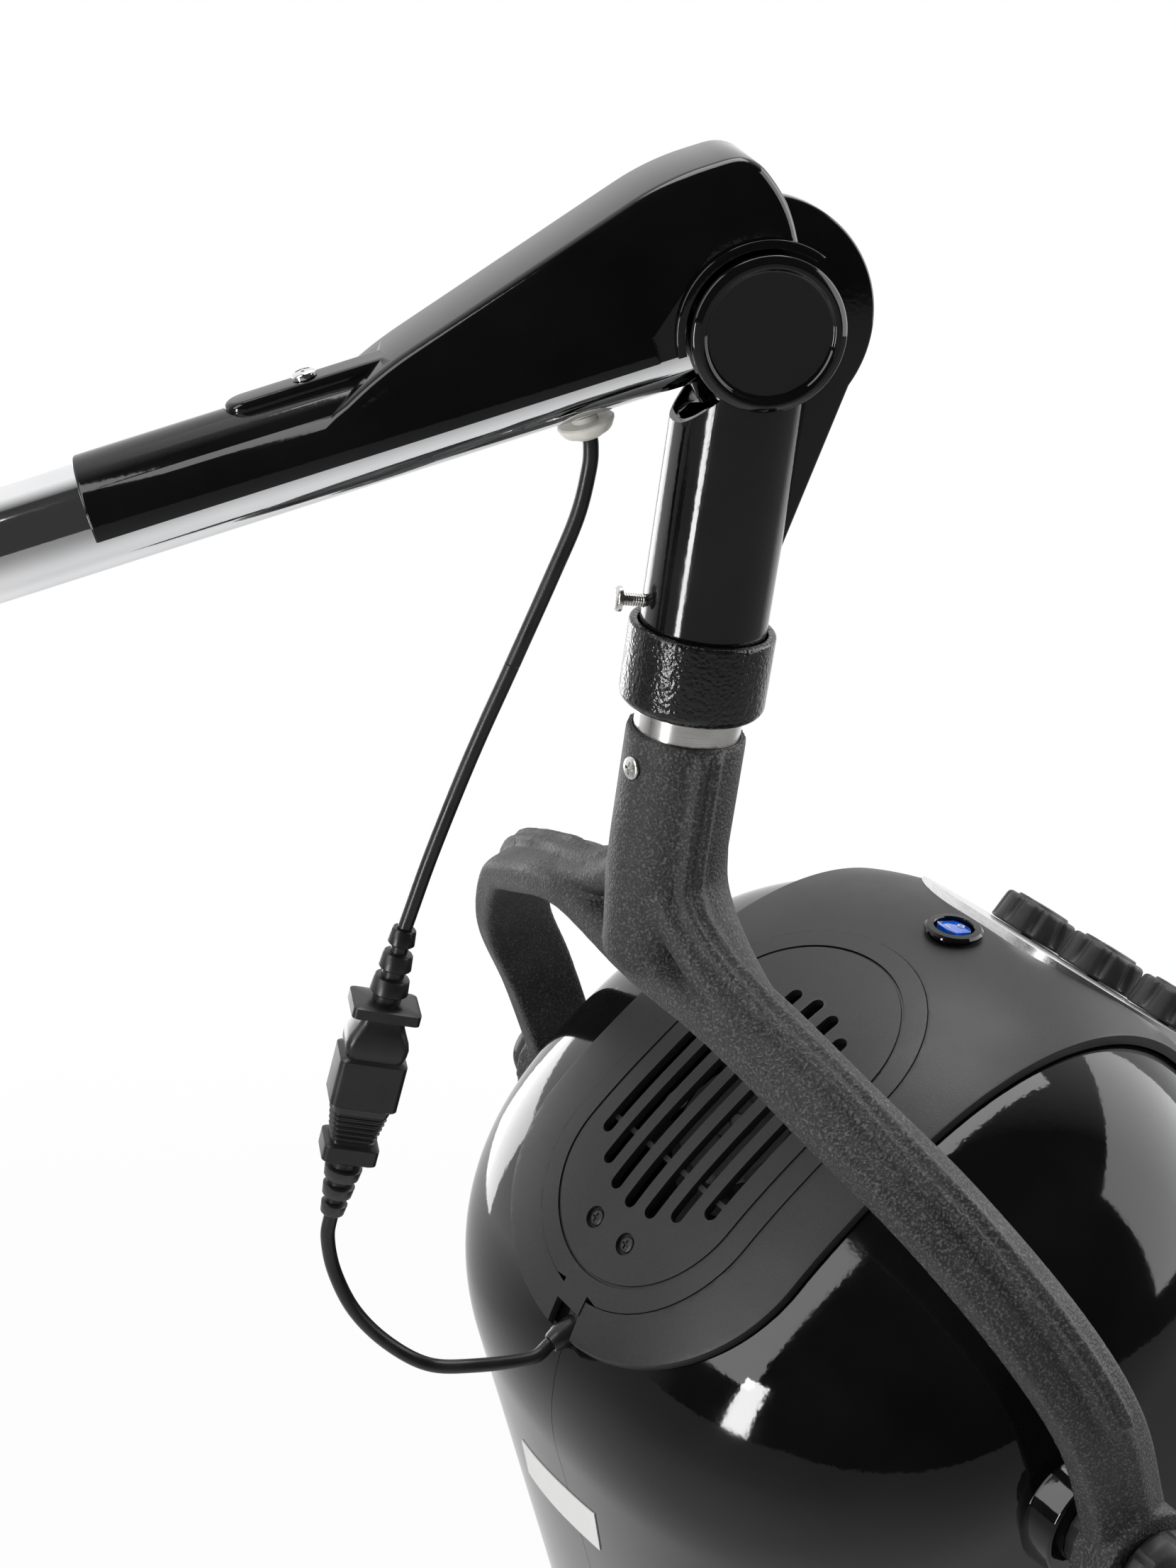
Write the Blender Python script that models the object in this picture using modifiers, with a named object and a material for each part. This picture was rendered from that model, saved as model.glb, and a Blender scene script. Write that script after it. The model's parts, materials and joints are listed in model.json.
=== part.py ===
"""A wall-mounted salon hood dryer: wall bracket, chrome arm, sprung elbow, fork and tilting hood.

Metres, +Z up, +X out from the wall. The origin is the middle of the wall plate's back face. The pose is the one
in use: the arm rises from the wall, the down tube hangs plumb, the fork is swivelled and the hood is tipped back.
"""
from math import atan2, copysign, cos, hypot, pi, radians, sin, sqrt

import bmesh
import bpy
from mathutils import Matrix, Vector

MM = 0.001

# Clearances
FIT = 0.3 * MM
PLAY = 0.6 * MM
SEAT = 1.4 * MM

# Pose in use
ARM_RISE = radians(22.9)
FORK_SWIVEL = radians(23.6)
HOOD_TILT = radians(42.5)

# Wall bracket
PLATE_WIDTH = 110 * MM
PLATE_HEIGHT = 170 * MM
PLATE_THICK = 8 * MM
PLATE_CORNER = 14 * MM
WALL_HOLE_X = 80 * MM
WALL_HOLE_Z = 130 * MM
WALL_SCREW_R = 4 * MM
POST_X = 62 * MM
SOCKET_R = 21 * MM
SOCKET_WALL = 5 * MM
SOCKET_HEIGHT = 90 * MM
WEB_THICK = 18 * MM
SPINDLE_R = 12 * MM
BUSH_FLANGE = 3 * MM
ROOT_R = 25.5 * MM
ROOT_HUB_HEIGHT = 56 * MM
SLEEVE_REACH = 100 * MM

# Arm
ARM_LENGTH = 600 * MM
ARM_R = 20.15 * MM
ARM_WALL = 2 * MM
ARM_OFFSET = 3.8 * MM
GROMMET_U = -70 * MM

# Elbow
LEVER_R = 46 * MM
LEVER_THICK = 8 * MM
CHEEK_THICK = 5 * MM
CHEEK_R = 19 * MM
LEVER_FOOT = -92 * MM
PLUG_START_U = -140 * MM
PLUG_END_U = -92 * MM
BARREL_R = 27.5 * MM
BARREL_HALF = 25 * MM
AXLE_R = 6 * MM
CAP_R = 29 * MM
CAP_THICK = 4 * MM
SPRING_PIN_R = 36 * MM
SPRING_R = 5 * MM
SPRING_WIRE_R = 1.1 * MM
SPRING_TURNS = 11
ANCHOR_U = -100 * MM

# Elbow cover
COVER_HALF = 21.5 * MM
COVER_WALL = 2.4 * MM
COVER_PEAK = 66 * MM
COVER_NOSE_U = 20 * MM
COVER_TOE_U = -176 * MM
SLEEVE_END_U = -253 * MM
LIP_WIDTH = 3.2 * MM

# Down tube, collar and swivel stub
TUBE_R = 25 * MM
TUBE_WALL = 2 * MM
COLLAR_TOP = -121 * MM
COLLAR_BOTTOM = -155 * MM
COLLAR_R = 29 * MM
STUB_R = 21.4 * MM
STUB_WALL = 3 * MM
NECK_TOP = -165 * MM
NECK_R = 24 * MM
NECK_DEPTH = 50 * MM
BUSH_TOP = -66 * MM
SET_SCREW_Z = -113 * MM

# Fork
PIVOT_X = 125 * MM
PIVOT_Z = -455 * MM
HUB_R = 24 * MM
HUB_GAP = 7 * MM
CREST_Z = -262 * MM
HUB_THICK = 20 * MM
ARM_BAND = 18 * MM
ARM_IN = 9 * MM
ARM_OUT = 6 * MM
ARM_RIDGE = 10.5 * MM
PIVOT_BOLT_R = 5 * MM
WASHER_R = 20 * MM

# Hood: a rounded dome about a point behind and below its crown, in the hood's own frame
DOME_POWER = 2.4
DOME_SIDE = 181 * MM
DOME_BACK = 165 * MM
DOME_FRONT = 169 * MM
DOME_RISE = 132 * MM
DOME_X = 20 * MM
DOME_Z = -5 * MM
RIM_Z = -150 * MM
RIM_SLOPE = 0.11
FLARE_SIDE = 0.08
FLARE_BACK = 0.46
FLARE_FRONT = 0.05
SHELL_WALL = 3 * MM
BOSS_R = 30 * MM
BOSS_OUT = DOME_SIDE + 11 * MM
HUB_IN = BOSS_OUT + HUB_GAP

# Top panel and vent lid
PANEL_HALF = 88 * MM
PANEL_THICK = 3.7 * MM
PANEL_BACK = -99 * MM
PANEL_ROUND_X = -20 * MM
LID_LENGTH = 102.5 * MM
LID_HALF = 61.5 * MM
LID_THICK = 4.2 * MM
LID_LEDGE = 12 * MM
TAB_HALF = 8 * MM
TAB_BACK = -88.5 * MM
SLOT_COUNT = 7
SLOT_PITCH = 12.7 * MM
SLOT_WIDTH = 6.5 * MM
LID_SCREW_Y = 11.3 * MM
LID_SCREW_X = -52 * MM

# Controls
PANEL_LEAN = radians(18)
CONTROL_Z = -11.1 * MM
CONTROL_X = 198.6 * MM
CONTROL_RISE = 35 * MM
CONTROL_CORNER = 16 * MM
CONTROL_HALF = 76 * MM
CONTROL_TALL = 65 * MM
CONTROL_THICK = 18 * MM
KNOB_PITCH = 47 * MM
KNOB_SHIFT = 4 * MM
KNOB_R = 20.5 * MM
KNOB_LONG = 17 * MM
SHAFT_R = 3 * MM
SWITCH_Y = -3.5 * MM
SWITCH_X = 149 * MM
SWITCH_R = 11 * MM
ROCK_ROOM = 1.3 * MM

# Inside the hood
LINER_GAP = 32 * MM
LINER_RISE = 47 * MM
LINER_WALL = 2 * MM
RIM_THICK = 5 * MM
MOUNT_Z = 98 * MM
MOUNT_THICK = 3 * MM
MOUNT_FRONT = 110 * MM
MOTOR_R = 31 * MM
MOTOR_TALL = 22 * MM
FAN_R = 66 * MM
FAN_TALL = 26 * MM
FAN_SHAFT_R = 3 * MM
HEATER_R = 52 * MM

# Cord and inline connector
CORD_R = 3.05 * MM
PLUG_HALF_WIDE = 14 * MM
PLUG_HALF_DEEP = 10.5 * MM


# Scene and frames

def clear_scene():
    for obj in list(bpy.data.objects):
        bpy.data.objects.remove(obj, do_unlink=True)


def new_collection(name):
    found = bpy.data.collections.new(name)
    bpy.context.scene.collection.children.link(found)
    return found


clear_scene()
PARTS = new_collection("hood_dryer")
TOOLS = new_collection("cutters")


def new_frame(name, matrix, parent=None):
    empty = bpy.data.objects.new(name, None)
    PARTS.objects.link(empty)
    empty.parent = parent
    empty.matrix_basis = matrix
    return empty


def elbow_place():
    """The elbow's axle, from the arm's length, rise and offset."""
    back = Matrix.Rotation(-ARM_RISE, 3, "Y") @ Vector((-ARM_LENGTH, 0, ARM_OFFSET))
    root_z = SOCKET_HEIGHT / 2 + BUSH_FLANGE + ROOT_HUB_HEIGHT / 2
    return Vector((POST_X, 0, root_z)) - back


WALL = new_frame("wall_frame", Matrix.Identity(4))
ELBOW_AT = elbow_place()
ARM = new_frame("arm_frame", Matrix.Translation(ELBOW_AT) @ Matrix.Rotation(-ARM_RISE, 4, "Y"))
DROP = new_frame("drop_frame", Matrix.Translation(ELBOW_AT))
FORK = new_frame("fork_frame", Matrix.Rotation(FORK_SWIVEL, 4, "Z"), DROP)
HOOD = new_frame(
    "hood_frame",
    Matrix.Translation((PIVOT_X, 0, PIVOT_Z)) @ Matrix.Rotation(-HOOD_TILT, 4, "Y"),
    FORK,
)


# Finishes

def finish(name, colour, roughness, metallic=0.0):
    made = bpy.data.materials.new(name)
    made.use_nodes = True
    shader = made.node_tree.nodes["Principled BSDF"]
    shader.inputs["Base Color"].default_value = (*colour, 1.0)
    shader.inputs["Roughness"].default_value = roughness
    shader.inputs["Metallic"].default_value = metallic
    return made


CHROME = finish("chrome", (0.80, 0.80, 0.82), 0.06, 1.0)
STEEL = finish("bright_steel", (0.62, 0.61, 0.59), 0.28, 1.0)
GLOSS_BLACK = finish("gloss_black", (0.008, 0.008, 0.009), 0.08)
HAMMERED = finish("hammered_black", (0.010, 0.010, 0.011), 0.25)
GRAINED = finish("grained_charcoal", (0.040, 0.040, 0.042), 0.55)
MATTE = finish("matte_black", (0.022, 0.022, 0.024), 0.50)
SATIN = finish("satin_silver", (0.70, 0.70, 0.71), 0.22, 1.0)
WHITE = finish("white_nylon", (0.80, 0.79, 0.75), 0.40)
BLUE = finish("blue_lens", (0.02, 0.11, 0.50), 0.10)
CORD_BLACK = finish("cord_black", (0.012, 0.012, 0.012), 0.35)
POWDER = finish("powder_black", (0.015, 0.015, 0.016), 0.35)
LINER_GREY = finish("liner_grey", (0.060, 0.060, 0.062), 0.45)


# Shapes

def add(name, mesh, frame, look, at=(0, 0, 0), turn=None):
    """A finished piece, placed in a frame."""
    obj = bpy.data.objects.new(name, mesh)
    PARTS.objects.link(obj)
    obj.parent = frame
    obj.matrix_basis = Matrix.Translation(at) @ (turn or Matrix.Identity(4))
    mesh.materials.append(look)
    mesh.shade_smooth()
    mesh.set_sharp_from_angle(angle=radians(32))
    return obj


def tool(mesh, frame, at=(0, 0, 0), turn=None):
    """A cutter or a body to be joined: never a piece by itself."""
    obj = bpy.data.objects.new("tool", mesh)
    TOOLS.objects.link(obj)
    obj.parent = frame
    obj.matrix_basis = Matrix.Translation(at) @ (turn or Matrix.Identity(4))
    obj.hide_render = True
    obj.display_type = "WIRE"
    return obj


def combine(obj, other, how="DIFFERENCE"):
    step = obj.modifiers.new(how.lower(), "BOOLEAN")
    step.operation = how
    step.solver = "EXACT"
    step.object = other
    return obj


def to_mesh(bm):
    mesh = bpy.data.meshes.new("mesh")
    bmesh.ops.recalc_face_normals(bm, faces=bm.faces)
    bm.to_mesh(mesh)
    bm.free()
    return mesh


def rod(radius, length, sides=32, top=None):
    """A cylinder or cone along Z, centred."""
    bm = bmesh.new()
    bmesh.ops.create_cone(
        bm, cap_ends=True, segments=sides, radius1=radius, radius2=radius if top is None else top, depth=length)
    return to_mesh(bm)


def block(x, y, z, edge=0.0):
    """A box, its edges rounded if asked."""
    bm = bmesh.new()
    bmesh.ops.create_cube(bm, size=1.0, matrix=Matrix.Diagonal((x, y, z, 1)))
    if edge:
        bmesh.ops.bevel(bm, geom=bm.edges[:], offset=edge, segments=2, affect="EDGES", profile=0.5)
    return to_mesh(bm)


def turned(profile, closed=False):
    """A profile of radius and height pairs, its outer side running down, to be spun about Z."""
    bm = bmesh.new()
    points = [bm.verts.new((r, 0, z)) for r, z in profile]
    for a, b in zip(points, points[1:]):
        bm.edges.new((a, b))
    if closed:
        bm.edges.new((points[-1], points[0]))
    mesh = bpy.data.meshes.new("profile")
    bm.to_mesh(mesh)
    bm.free()
    return mesh


def spin(obj, steps=32):
    screw = obj.modifiers.new("spin", "SCREW")
    screw.steps = steps
    screw.render_steps = steps
    screw.use_merge_vertices = True
    screw.merge_threshold = 0.00001
    screw.use_smooth_shade = True
    return obj


def ring(inner, outer, low, high):
    """The closed profile of a plain sleeve."""
    return turned([(inner, high), (outer, high), (outer, low), (inner, low)], closed=True)


def plate(loops, thickness, edge=0.0):
    """A flat plate in XY from closed outlines, holes included, its thickness centred on Z."""
    curve = bpy.data.curves.new("outline", "CURVE")
    curve.dimensions = "2D"
    curve.fill_mode = "BOTH"
    curve.extrude = thickness / 2 - edge
    curve.bevel_depth = edge
    curve.bevel_resolution = 1
    curve.offset = -edge
    for loop in loops:
        spline = curve.splines.new("POLY")
        spline.points.add(len(loop) - 1)
        for point, (x, y) in zip(spline.points, loop):
            point.co = (x, y, 0, 1)
        spline.use_cyclic_u = True
    obj = bpy.data.objects.new("outline", curve)
    TOOLS.objects.link(obj)
    return curve_mesh(obj)


def curve_mesh(obj):
    """The evaluated mesh of a curve object, its caps welded, the curve removed."""
    graph = bpy.context.evaluated_depsgraph_get()
    mesh = bpy.data.meshes.new_from_object(obj.evaluated_get(graph))
    bm = bmesh.new()
    bm.from_mesh(mesh)
    bmesh.ops.remove_doubles(bm, verts=bm.verts, dist=0.00001)
    bpy.data.objects.remove(obj, do_unlink=True)
    return to_mesh(bm)


def arc(x, y, radius, start, end, steps):
    """Points of an arc, angles in degrees."""
    sweep = (radians(start + (end - start) * i / steps) for i in range(steps + 1))
    return [(x + radius * cos(a), y + radius * sin(a)) for a in sweep]


def circle(x, y, radius, steps=24):
    return arc(x, y, radius, 0, 360, steps)[:-1]


def rounded(width, height, radius, steps=5):
    """The outline of a rectangle with round corners, centred."""
    x = width / 2 - radius
    y = height / 2 - radius
    corners = ((x, y, 0), (-x, y, 90), (-x, -y, 180), (x, -y, 270))
    return [p for cx, cy, a in corners for p in arc(cx, cy, radius, a, a + 90, steps)]


def loft(rings):
    """A closed body through rings of points, capped at both ends."""
    bm = bmesh.new()
    rows = [[bm.verts.new(p) for p in one] for one in rings]
    count = len(rows[0])
    for a, b in zip(rows, rows[1:]):
        for i in range(count):
            j = (i + 1) % count
            bm.faces.new((a[i], a[j], b[j], b[i]))
    bm.faces.new(rows[0])
    bm.faces.new(rows[-1])
    return to_mesh(bm)


def smooth_path(points, each):
    """Points on a smooth curve through the given ones, `each` to a stretch."""
    points = [Vector(p) for p in points]
    ends = [2 * points[0] - points[1], *points, 2 * points[-1] - points[-2]]
    made = []
    for a, b, c, d in zip(ends, ends[1:], ends[2:], ends[3:]):
        for i in range(each):
            t = i / each
            made.append(0.5 * (2 * b + (c - a) * t + (2 * a - 5 * b + 4 * c - d) * t ** 2
                               + (3 * b - a - 3 * c + d) * t ** 3))
    return [*made, points[-1]]


def tube(name, points, radius, frame, look, sides=2):
    """A cord or wire along points, its ends capped."""
    curve = bpy.data.curves.new(name, "CURVE")
    curve.dimensions = "3D"
    curve.bevel_depth = radius
    curve.bevel_resolution = sides
    curve.use_fill_caps = True
    spline = curve.splines.new("POLY")
    spline.points.add(len(points) - 1)
    for point, place in zip(spline.points, points):
        point.co = (*place, 1)
    curve.materials.append(look)
    obj = bpy.data.objects.new(name, curve)
    PARTS.objects.link(obj)
    obj.parent = frame
    return obj


def along(direction):
    """A turn that takes Z to a direction."""
    return Vector((0, 0, 1)).rotation_difference(Vector(direction)).to_matrix().to_4x4()


ALONG_X = along((1, 0, 0))
ALONG_Y = Matrix.Rotation(-pi / 2, 4, "X")
UPRIGHT = Matrix.Rotation(pi / 2, 4, "X")


def screw(name, frame, at, direction, look, head_r, head_tall, shank_r, shank_long, cross=True):
    """A pan-head screw, cross recessed or plain: the head's seat at `at`, its crown towards `direction`."""
    profile = [
        (0, head_tall), (0.55 * head_r, 0.88 * head_tall), (head_r, 0.35 * head_tall), (head_r, 0),
        (shank_r, 0), (shank_r, -shank_long), (0, -shank_long)]
    turn = along(direction)
    obj = spin(add(name, turned(profile), frame, look, at, turn), 12)
    for quarter in (0, pi / 2) if cross else ():
        slot = block(1.1 * head_r, 0.26 * head_r, head_tall)
        place = Matrix.Translation(at) @ turn @ Matrix.Translation((0, 0, 0.95 * head_tall))
        cutter = tool(slot, frame)
        cutter.matrix_basis = place @ Matrix.Rotation(quarter, 4, "Z")
        combine(obj, cutter)
    return obj


# Wall bracket

def wall_bracket():
    holes = [
        circle(sx * WALL_HOLE_X / 2, sz * WALL_HOLE_Z / 2, WALL_SCREW_R + FIT, 12)
        for sx in (-1, 1) for sz in (-1, 1)]
    outline = rounded(PLATE_WIDTH, PLATE_HEIGHT, PLATE_CORNER)
    turn = Matrix.Rotation(pi / 2, 4, "Y") @ Matrix.Rotation(pi / 2, 4, "Z")
    add("wall_plate", plate([outline, *holes], PLATE_THICK), WALL, POWDER, (PLATE_THICK / 2, 0, 0), turn)

    socket = add("wall_socket", rod(SOCKET_R, SOCKET_HEIGHT, 24), WALL, POWDER, (POST_X, 0, 0))
    web_start = PLATE_THICK + FIT
    web_end = POST_X - SOCKET_R / 2
    web = block(web_end - web_start, WEB_THICK, SOCKET_HEIGHT)
    combine(socket, tool(web, WALL, ((web_start + web_end) / 2, 0, 0)), "UNION")
    bore = SOCKET_R - SOCKET_WALL
    combine(socket, tool(rod(bore, SOCKET_HEIGHT + 4 * MM, 24), WALL, (POST_X, 0, 0)))

    inner = SPINDLE_R + FIT
    outer = bore - FIT
    sleeve = 22 * MM
    for name, end in (("socket_bush_upper", 1), ("socket_bush_lower", -1)):
        face = SOCKET_HEIGHT / 2 + FIT
        profile = [
            (inner, face + BUSH_FLANGE), (SOCKET_R, face + BUSH_FLANGE), (SOCKET_R, face), (outer, face),
            (outer, face - sleeve), (inner, face - sleeve)]
        turn = Matrix.Identity(4) if end > 0 else Matrix.Rotation(pi, 4, "X")
        spin(add(name, turned(profile, closed=True), WALL, WHITE, (POST_X, 0, 0), turn), 20)


# Arm

def arm_root():
    """The casting at the wall: a spindle in the socket, a hub above it and a sleeve for the arm tube."""
    hub_low = SOCKET_HEIGHT / 2 + BUSH_FLANGE + 2 * FIT
    hub_high = hub_low + ROOT_HUB_HEIGHT
    foot = -SOCKET_HEIGHT / 2 - BUSH_FLANGE - 16 * MM
    profile = [
        (0, hub_high), (ROOT_R - 5 * MM, hub_high), (ROOT_R, hub_high - 5 * MM), (ROOT_R, hub_low + 4 * MM),
        (SOCKET_R, hub_low), (SPINDLE_R, hub_low), (SPINDLE_R, foot), (0, foot)]
    root = spin(add("arm_root", turned(profile), WALL, POWDER, (POST_X, 0, 0)), 24)
    reach = SLEEVE_REACH
    middle = (-ARM_LENGTH + reach / 2, 0, ARM_OFFSET)
    combine(root, tool(rod(ROOT_R, reach, 24), ARM, middle, ALONG_X), "UNION")
    bore_start = -ARM_LENGTH + ROOT_R + 4 * MM
    bore_long = ARM_LENGTH
    bore = rod(ARM_R + FIT, bore_long, 24)
    combine(root, tool(bore, ARM, (bore_start + bore_long / 2, 0, ARM_OFFSET), ALONG_X))

    washer_z = -SOCKET_HEIGHT / 2 - BUSH_FLANGE - 2 * FIT
    spin(add("spindle_washer", ring(SPINDLE_R + FIT, SOCKET_R, washer_z - 2.5 * MM, washer_z), WALL, STEEL,
             (POST_X, 0, 0)), 20)
    nut_z = washer_z - 2.5 * MM - FIT
    nut = add("spindle_nut", rod(19 * MM, 10 * MM, 6), WALL, STEEL, (POST_X, 0, nut_z - 5 * MM))
    combine(nut, tool(rod(SPINDLE_R + FIT, 14 * MM, 20), WALL, (POST_X, 0, nut_z - 5 * MM)))
    screw_u = -ARM_LENGTH + 0.7 * SLEEVE_REACH
    seat = ARM_OFFSET + ROOT_R + FIT
    hole = rod(4 * MM + FIT, ROOT_R, 16)
    combine(root, tool(hole, ARM, (screw_u, 0, ARM_OFFSET + ROOT_R)))
    screw("root_set_screw", ARM, (screw_u, 0, seat), (0, 0, 1), STEEL, 7 * MM, 4 * MM, 4 * MM,
          seat - ARM_OFFSET - ARM_R - FIT, cross=False)


def arm_tube():
    """The chrome tube: round-mouthed at the barrel, slit for the lever plate, holed below for the cord."""
    start = -ARM_LENGTH + ROOT_R + 6 * MM
    length = -start
    tube_mesh = rod(ARM_R, length, 32)
    made = add("arm_tube", tube_mesh, ARM, CHROME, (start / 2, 0, ARM_OFFSET), ALONG_X)
    combine(made, tool(rod(ARM_R - ARM_WALL, length + 10 * MM, 32), ARM, (start / 2, 0, ARM_OFFSET), ALONG_X))
    combine(made, tool(rod(BARREL_R + 1.7 * MM, 6 * BARREL_HALF, 32), ARM, (0, 0, 0), ALONG_Y))
    slit = LEVER_R + 6 * MM
    combine(made, tool(block(slit, LEVER_THICK + 2 * MM, 6 * ARM_R), ARM, (-slit / 2, 0, 0)))
    combine(made, tool(rod(5 * MM + FIT, 2 * ARM_R, 16), ARM, (GROMMET_U, 0, ARM_OFFSET - ARM_R)))


def fork_end():
    """The plug in the arm's end, with two cheeks that straddle the lever plate."""
    inside = ARM_R - ARM_WALL - FIT
    plug_start = PLUG_START_U
    plug_end = PLUG_END_U
    made = add("fork_end", rod(inside, plug_end - plug_start, 24), ARM, STEEL,
               ((plug_start + plug_end) / 2, 0, ARM_OFFSET), ALONG_X)
    cheek_in = LEVER_THICK / 2 + PLAY
    tall = sqrt(inside ** 2 - (cheek_in + CHEEK_THICK) ** 2)
    for side in (-1, 1):
        straight = [(plug_end - 6 * MM, ARM_OFFSET - tall), (-CHEEK_R, ARM_OFFSET - tall)]
        nose = arc(0, 0, CHEEK_R, -75, 75, 12)
        back = [(-CHEEK_R, ARM_OFFSET + tall), (plug_end - 6 * MM, ARM_OFFSET + tall)]
        cheek = plate([straight + nose + back], CHEEK_THICK)
        at = (0, side * (cheek_in + CHEEK_THICK / 2), 0)
        combine(made, tool(cheek, ARM, at, UPRIGHT), "UNION")
    combine(made, tool(rod(AXLE_R + FIT, 6 * BARREL_HALF, 16), ARM, (0, 0, 0), ALONG_Y))
    cable_way = block(plug_end - plug_start + 4 * MM, 4 * ARM_R, ARM_R)
    combine(made, tool(cable_way, ARM, ((plug_start + plug_end) / 2, 0, ARM_OFFSET - 1.05 * ARM_R)))


def grommet():
    """The white cord bush under the arm, a flanged ring in the tube's hole."""
    low = -ARM_R - FIT
    profile = [
        (CORD_R + FIT, ARM_WALL), (5 * MM, ARM_WALL), (5 * MM, -1.6 * MM), (11 * MM, -1.6 * MM),
        (9 * MM, -6 * MM), (5.5 * MM, -8 * MM), (CORD_R + FIT, -8 * MM)]
    made = spin(add("cord_grommet", turned(profile, closed=True), ARM, WHITE, (GROMMET_U, 0, ARM_OFFSET + low)), 16)
    combine(made, tool(rod(ARM_R + FIT, 80 * MM, 40), ARM, (GROMMET_U, 0, ARM_OFFSET), ALONG_X))
    return made


# Elbow

def lever_outline():
    """The round lever plate, tapering down the outer side of the tube, in the drop frame's XZ."""
    taper_foot = (TUBE_R - 1 * MM, LEVER_FOOT)
    return [
        taper_foot, *arc(0, 0, LEVER_R, -28, 150, 24), (-BARREL_R * 0.93, -BARREL_R * 0.57), (-2 * MM, -58 * MM),
        (TUBE_R - 6 * MM, LEVER_FOOT)]


def down_tube():
    """The weldment that swings at the elbow: tube, two half barrels and the lever plate between them."""
    low = COLLAR_BOTTOM + 4 * MM
    high = -8 * MM
    made = add("down_tube", rod(TUBE_R, high - low, 32), DROP, GLOSS_BLACK, (0, 0, (low + high) / 2))
    mouth = [(-TUBE_R - 30 * MM, -42 * MM), (-TUBE_R, -42 * MM), (-11 * MM, -25 * MM), (-11 * MM, 20 * MM),
             (-TUBE_R - 30 * MM, 20 * MM)]
    combine(made, tool(plate([mouth], 4 * TUBE_R), DROP, (0, 0, 0), UPRIGHT))
    cheek_out = LEVER_THICK / 2 + PLAY + CHEEK_THICK + PLAY
    for side in (-1, 1):
        length = BARREL_HALF - cheek_out
        at = (0, side * (cheek_out + length / 2), 0)
        combine(made, tool(rod(BARREL_R, length, 32), DROP, at, ALONG_Y), "UNION")
    bore = TUBE_R - TUBE_WALL
    combine(made, tool(rod(bore, 150 * MM, 32), DROP, (0, 0, -BARREL_R - 75 * MM)))
    combine(made, tool(plate([lever_outline()], LEVER_THICK), DROP, (0, 0, 0), UPRIGHT), "UNION")
    stub_way = rod(STUB_R + 1.4 * MM, 120 * MM, 32)
    combine(made, tool(stub_way, DROP, (0, 0, BUSH_TOP + 8 * MM - 60 * MM)))
    gap = CHEEK_THICK + 2 * PLAY
    for side in (-1, 1):
        at = (-20 * MM, side * (LEVER_THICK / 2 + gap / 2), 12 * MM)
        combine(made, tool(block(2 * (CHEEK_R + 21.5 * MM), gap, 84 * MM), DROP, at))
    combine(made, tool(rod(AXLE_R + FIT, 6 * BARREL_HALF, 16), DROP, (0, 0, 0), ALONG_Y))
    for side in (-1, 1):
        at = (0, side * BARREL_HALF, 0)
        combine(made, tool(rod(BARREL_R - 6 * MM, 16 * MM, 24), DROP, at, ALONG_Y))
    combine(made, tool(rod(2.5 * MM + FIT, 2 * TUBE_R, 10), DROP, (-TUBE_R, 0, SET_SCREW_Z), ALONG_X))
    pin = (-6 * MM, 0, SPRING_PIN_R)
    combine(made, tool(rod(2.6 * MM, 30 * MM, 10), DROP, pin, ALONG_Y))


def elbow_hardware():
    seat = BARREL_HALF - 8 * MM + FIT
    head = 5 * MM
    axle_profile = [
        (0, seat + head), (10 * MM, seat + head), (11 * MM, seat + head - 1.5 * MM), (11 * MM, seat), (AXLE_R, seat),
        (AXLE_R, -seat), (11 * MM, -seat), (11 * MM, -seat - head + 1.5 * MM), (10 * MM, -seat - head),
        (0, -seat - head)]
    spin(add("elbow_axle", turned(axle_profile), DROP, STEEL, (0, 0, 0), UPRIGHT), 16)
    face = BARREL_HALF + FIT
    spigot = BARREL_R - 6 * MM - FIT
    profile = [
        (0, face + CAP_THICK - 1 * MM), (CAP_R - 6 * MM, face + CAP_THICK - 1.3 * MM),
        (CAP_R - 4.5 * MM, face + CAP_THICK), (CAP_R - 1.5 * MM, face + CAP_THICK), (CAP_R, face + CAP_THICK - 1.5 * MM),
        (CAP_R, face), (spigot, face), (spigot, face - 1.5 * MM), (0, face - 1.5 * MM)]
    spin(add("barrel_cap_near", turned(profile), DROP, GLOSS_BLACK, (0, 0, 0), UPRIGHT), 32)
    spin(add("barrel_cap_far", turned(profile), DROP, GLOSS_BLACK, (0, 0, 0), ALONG_Y), 20)


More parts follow.
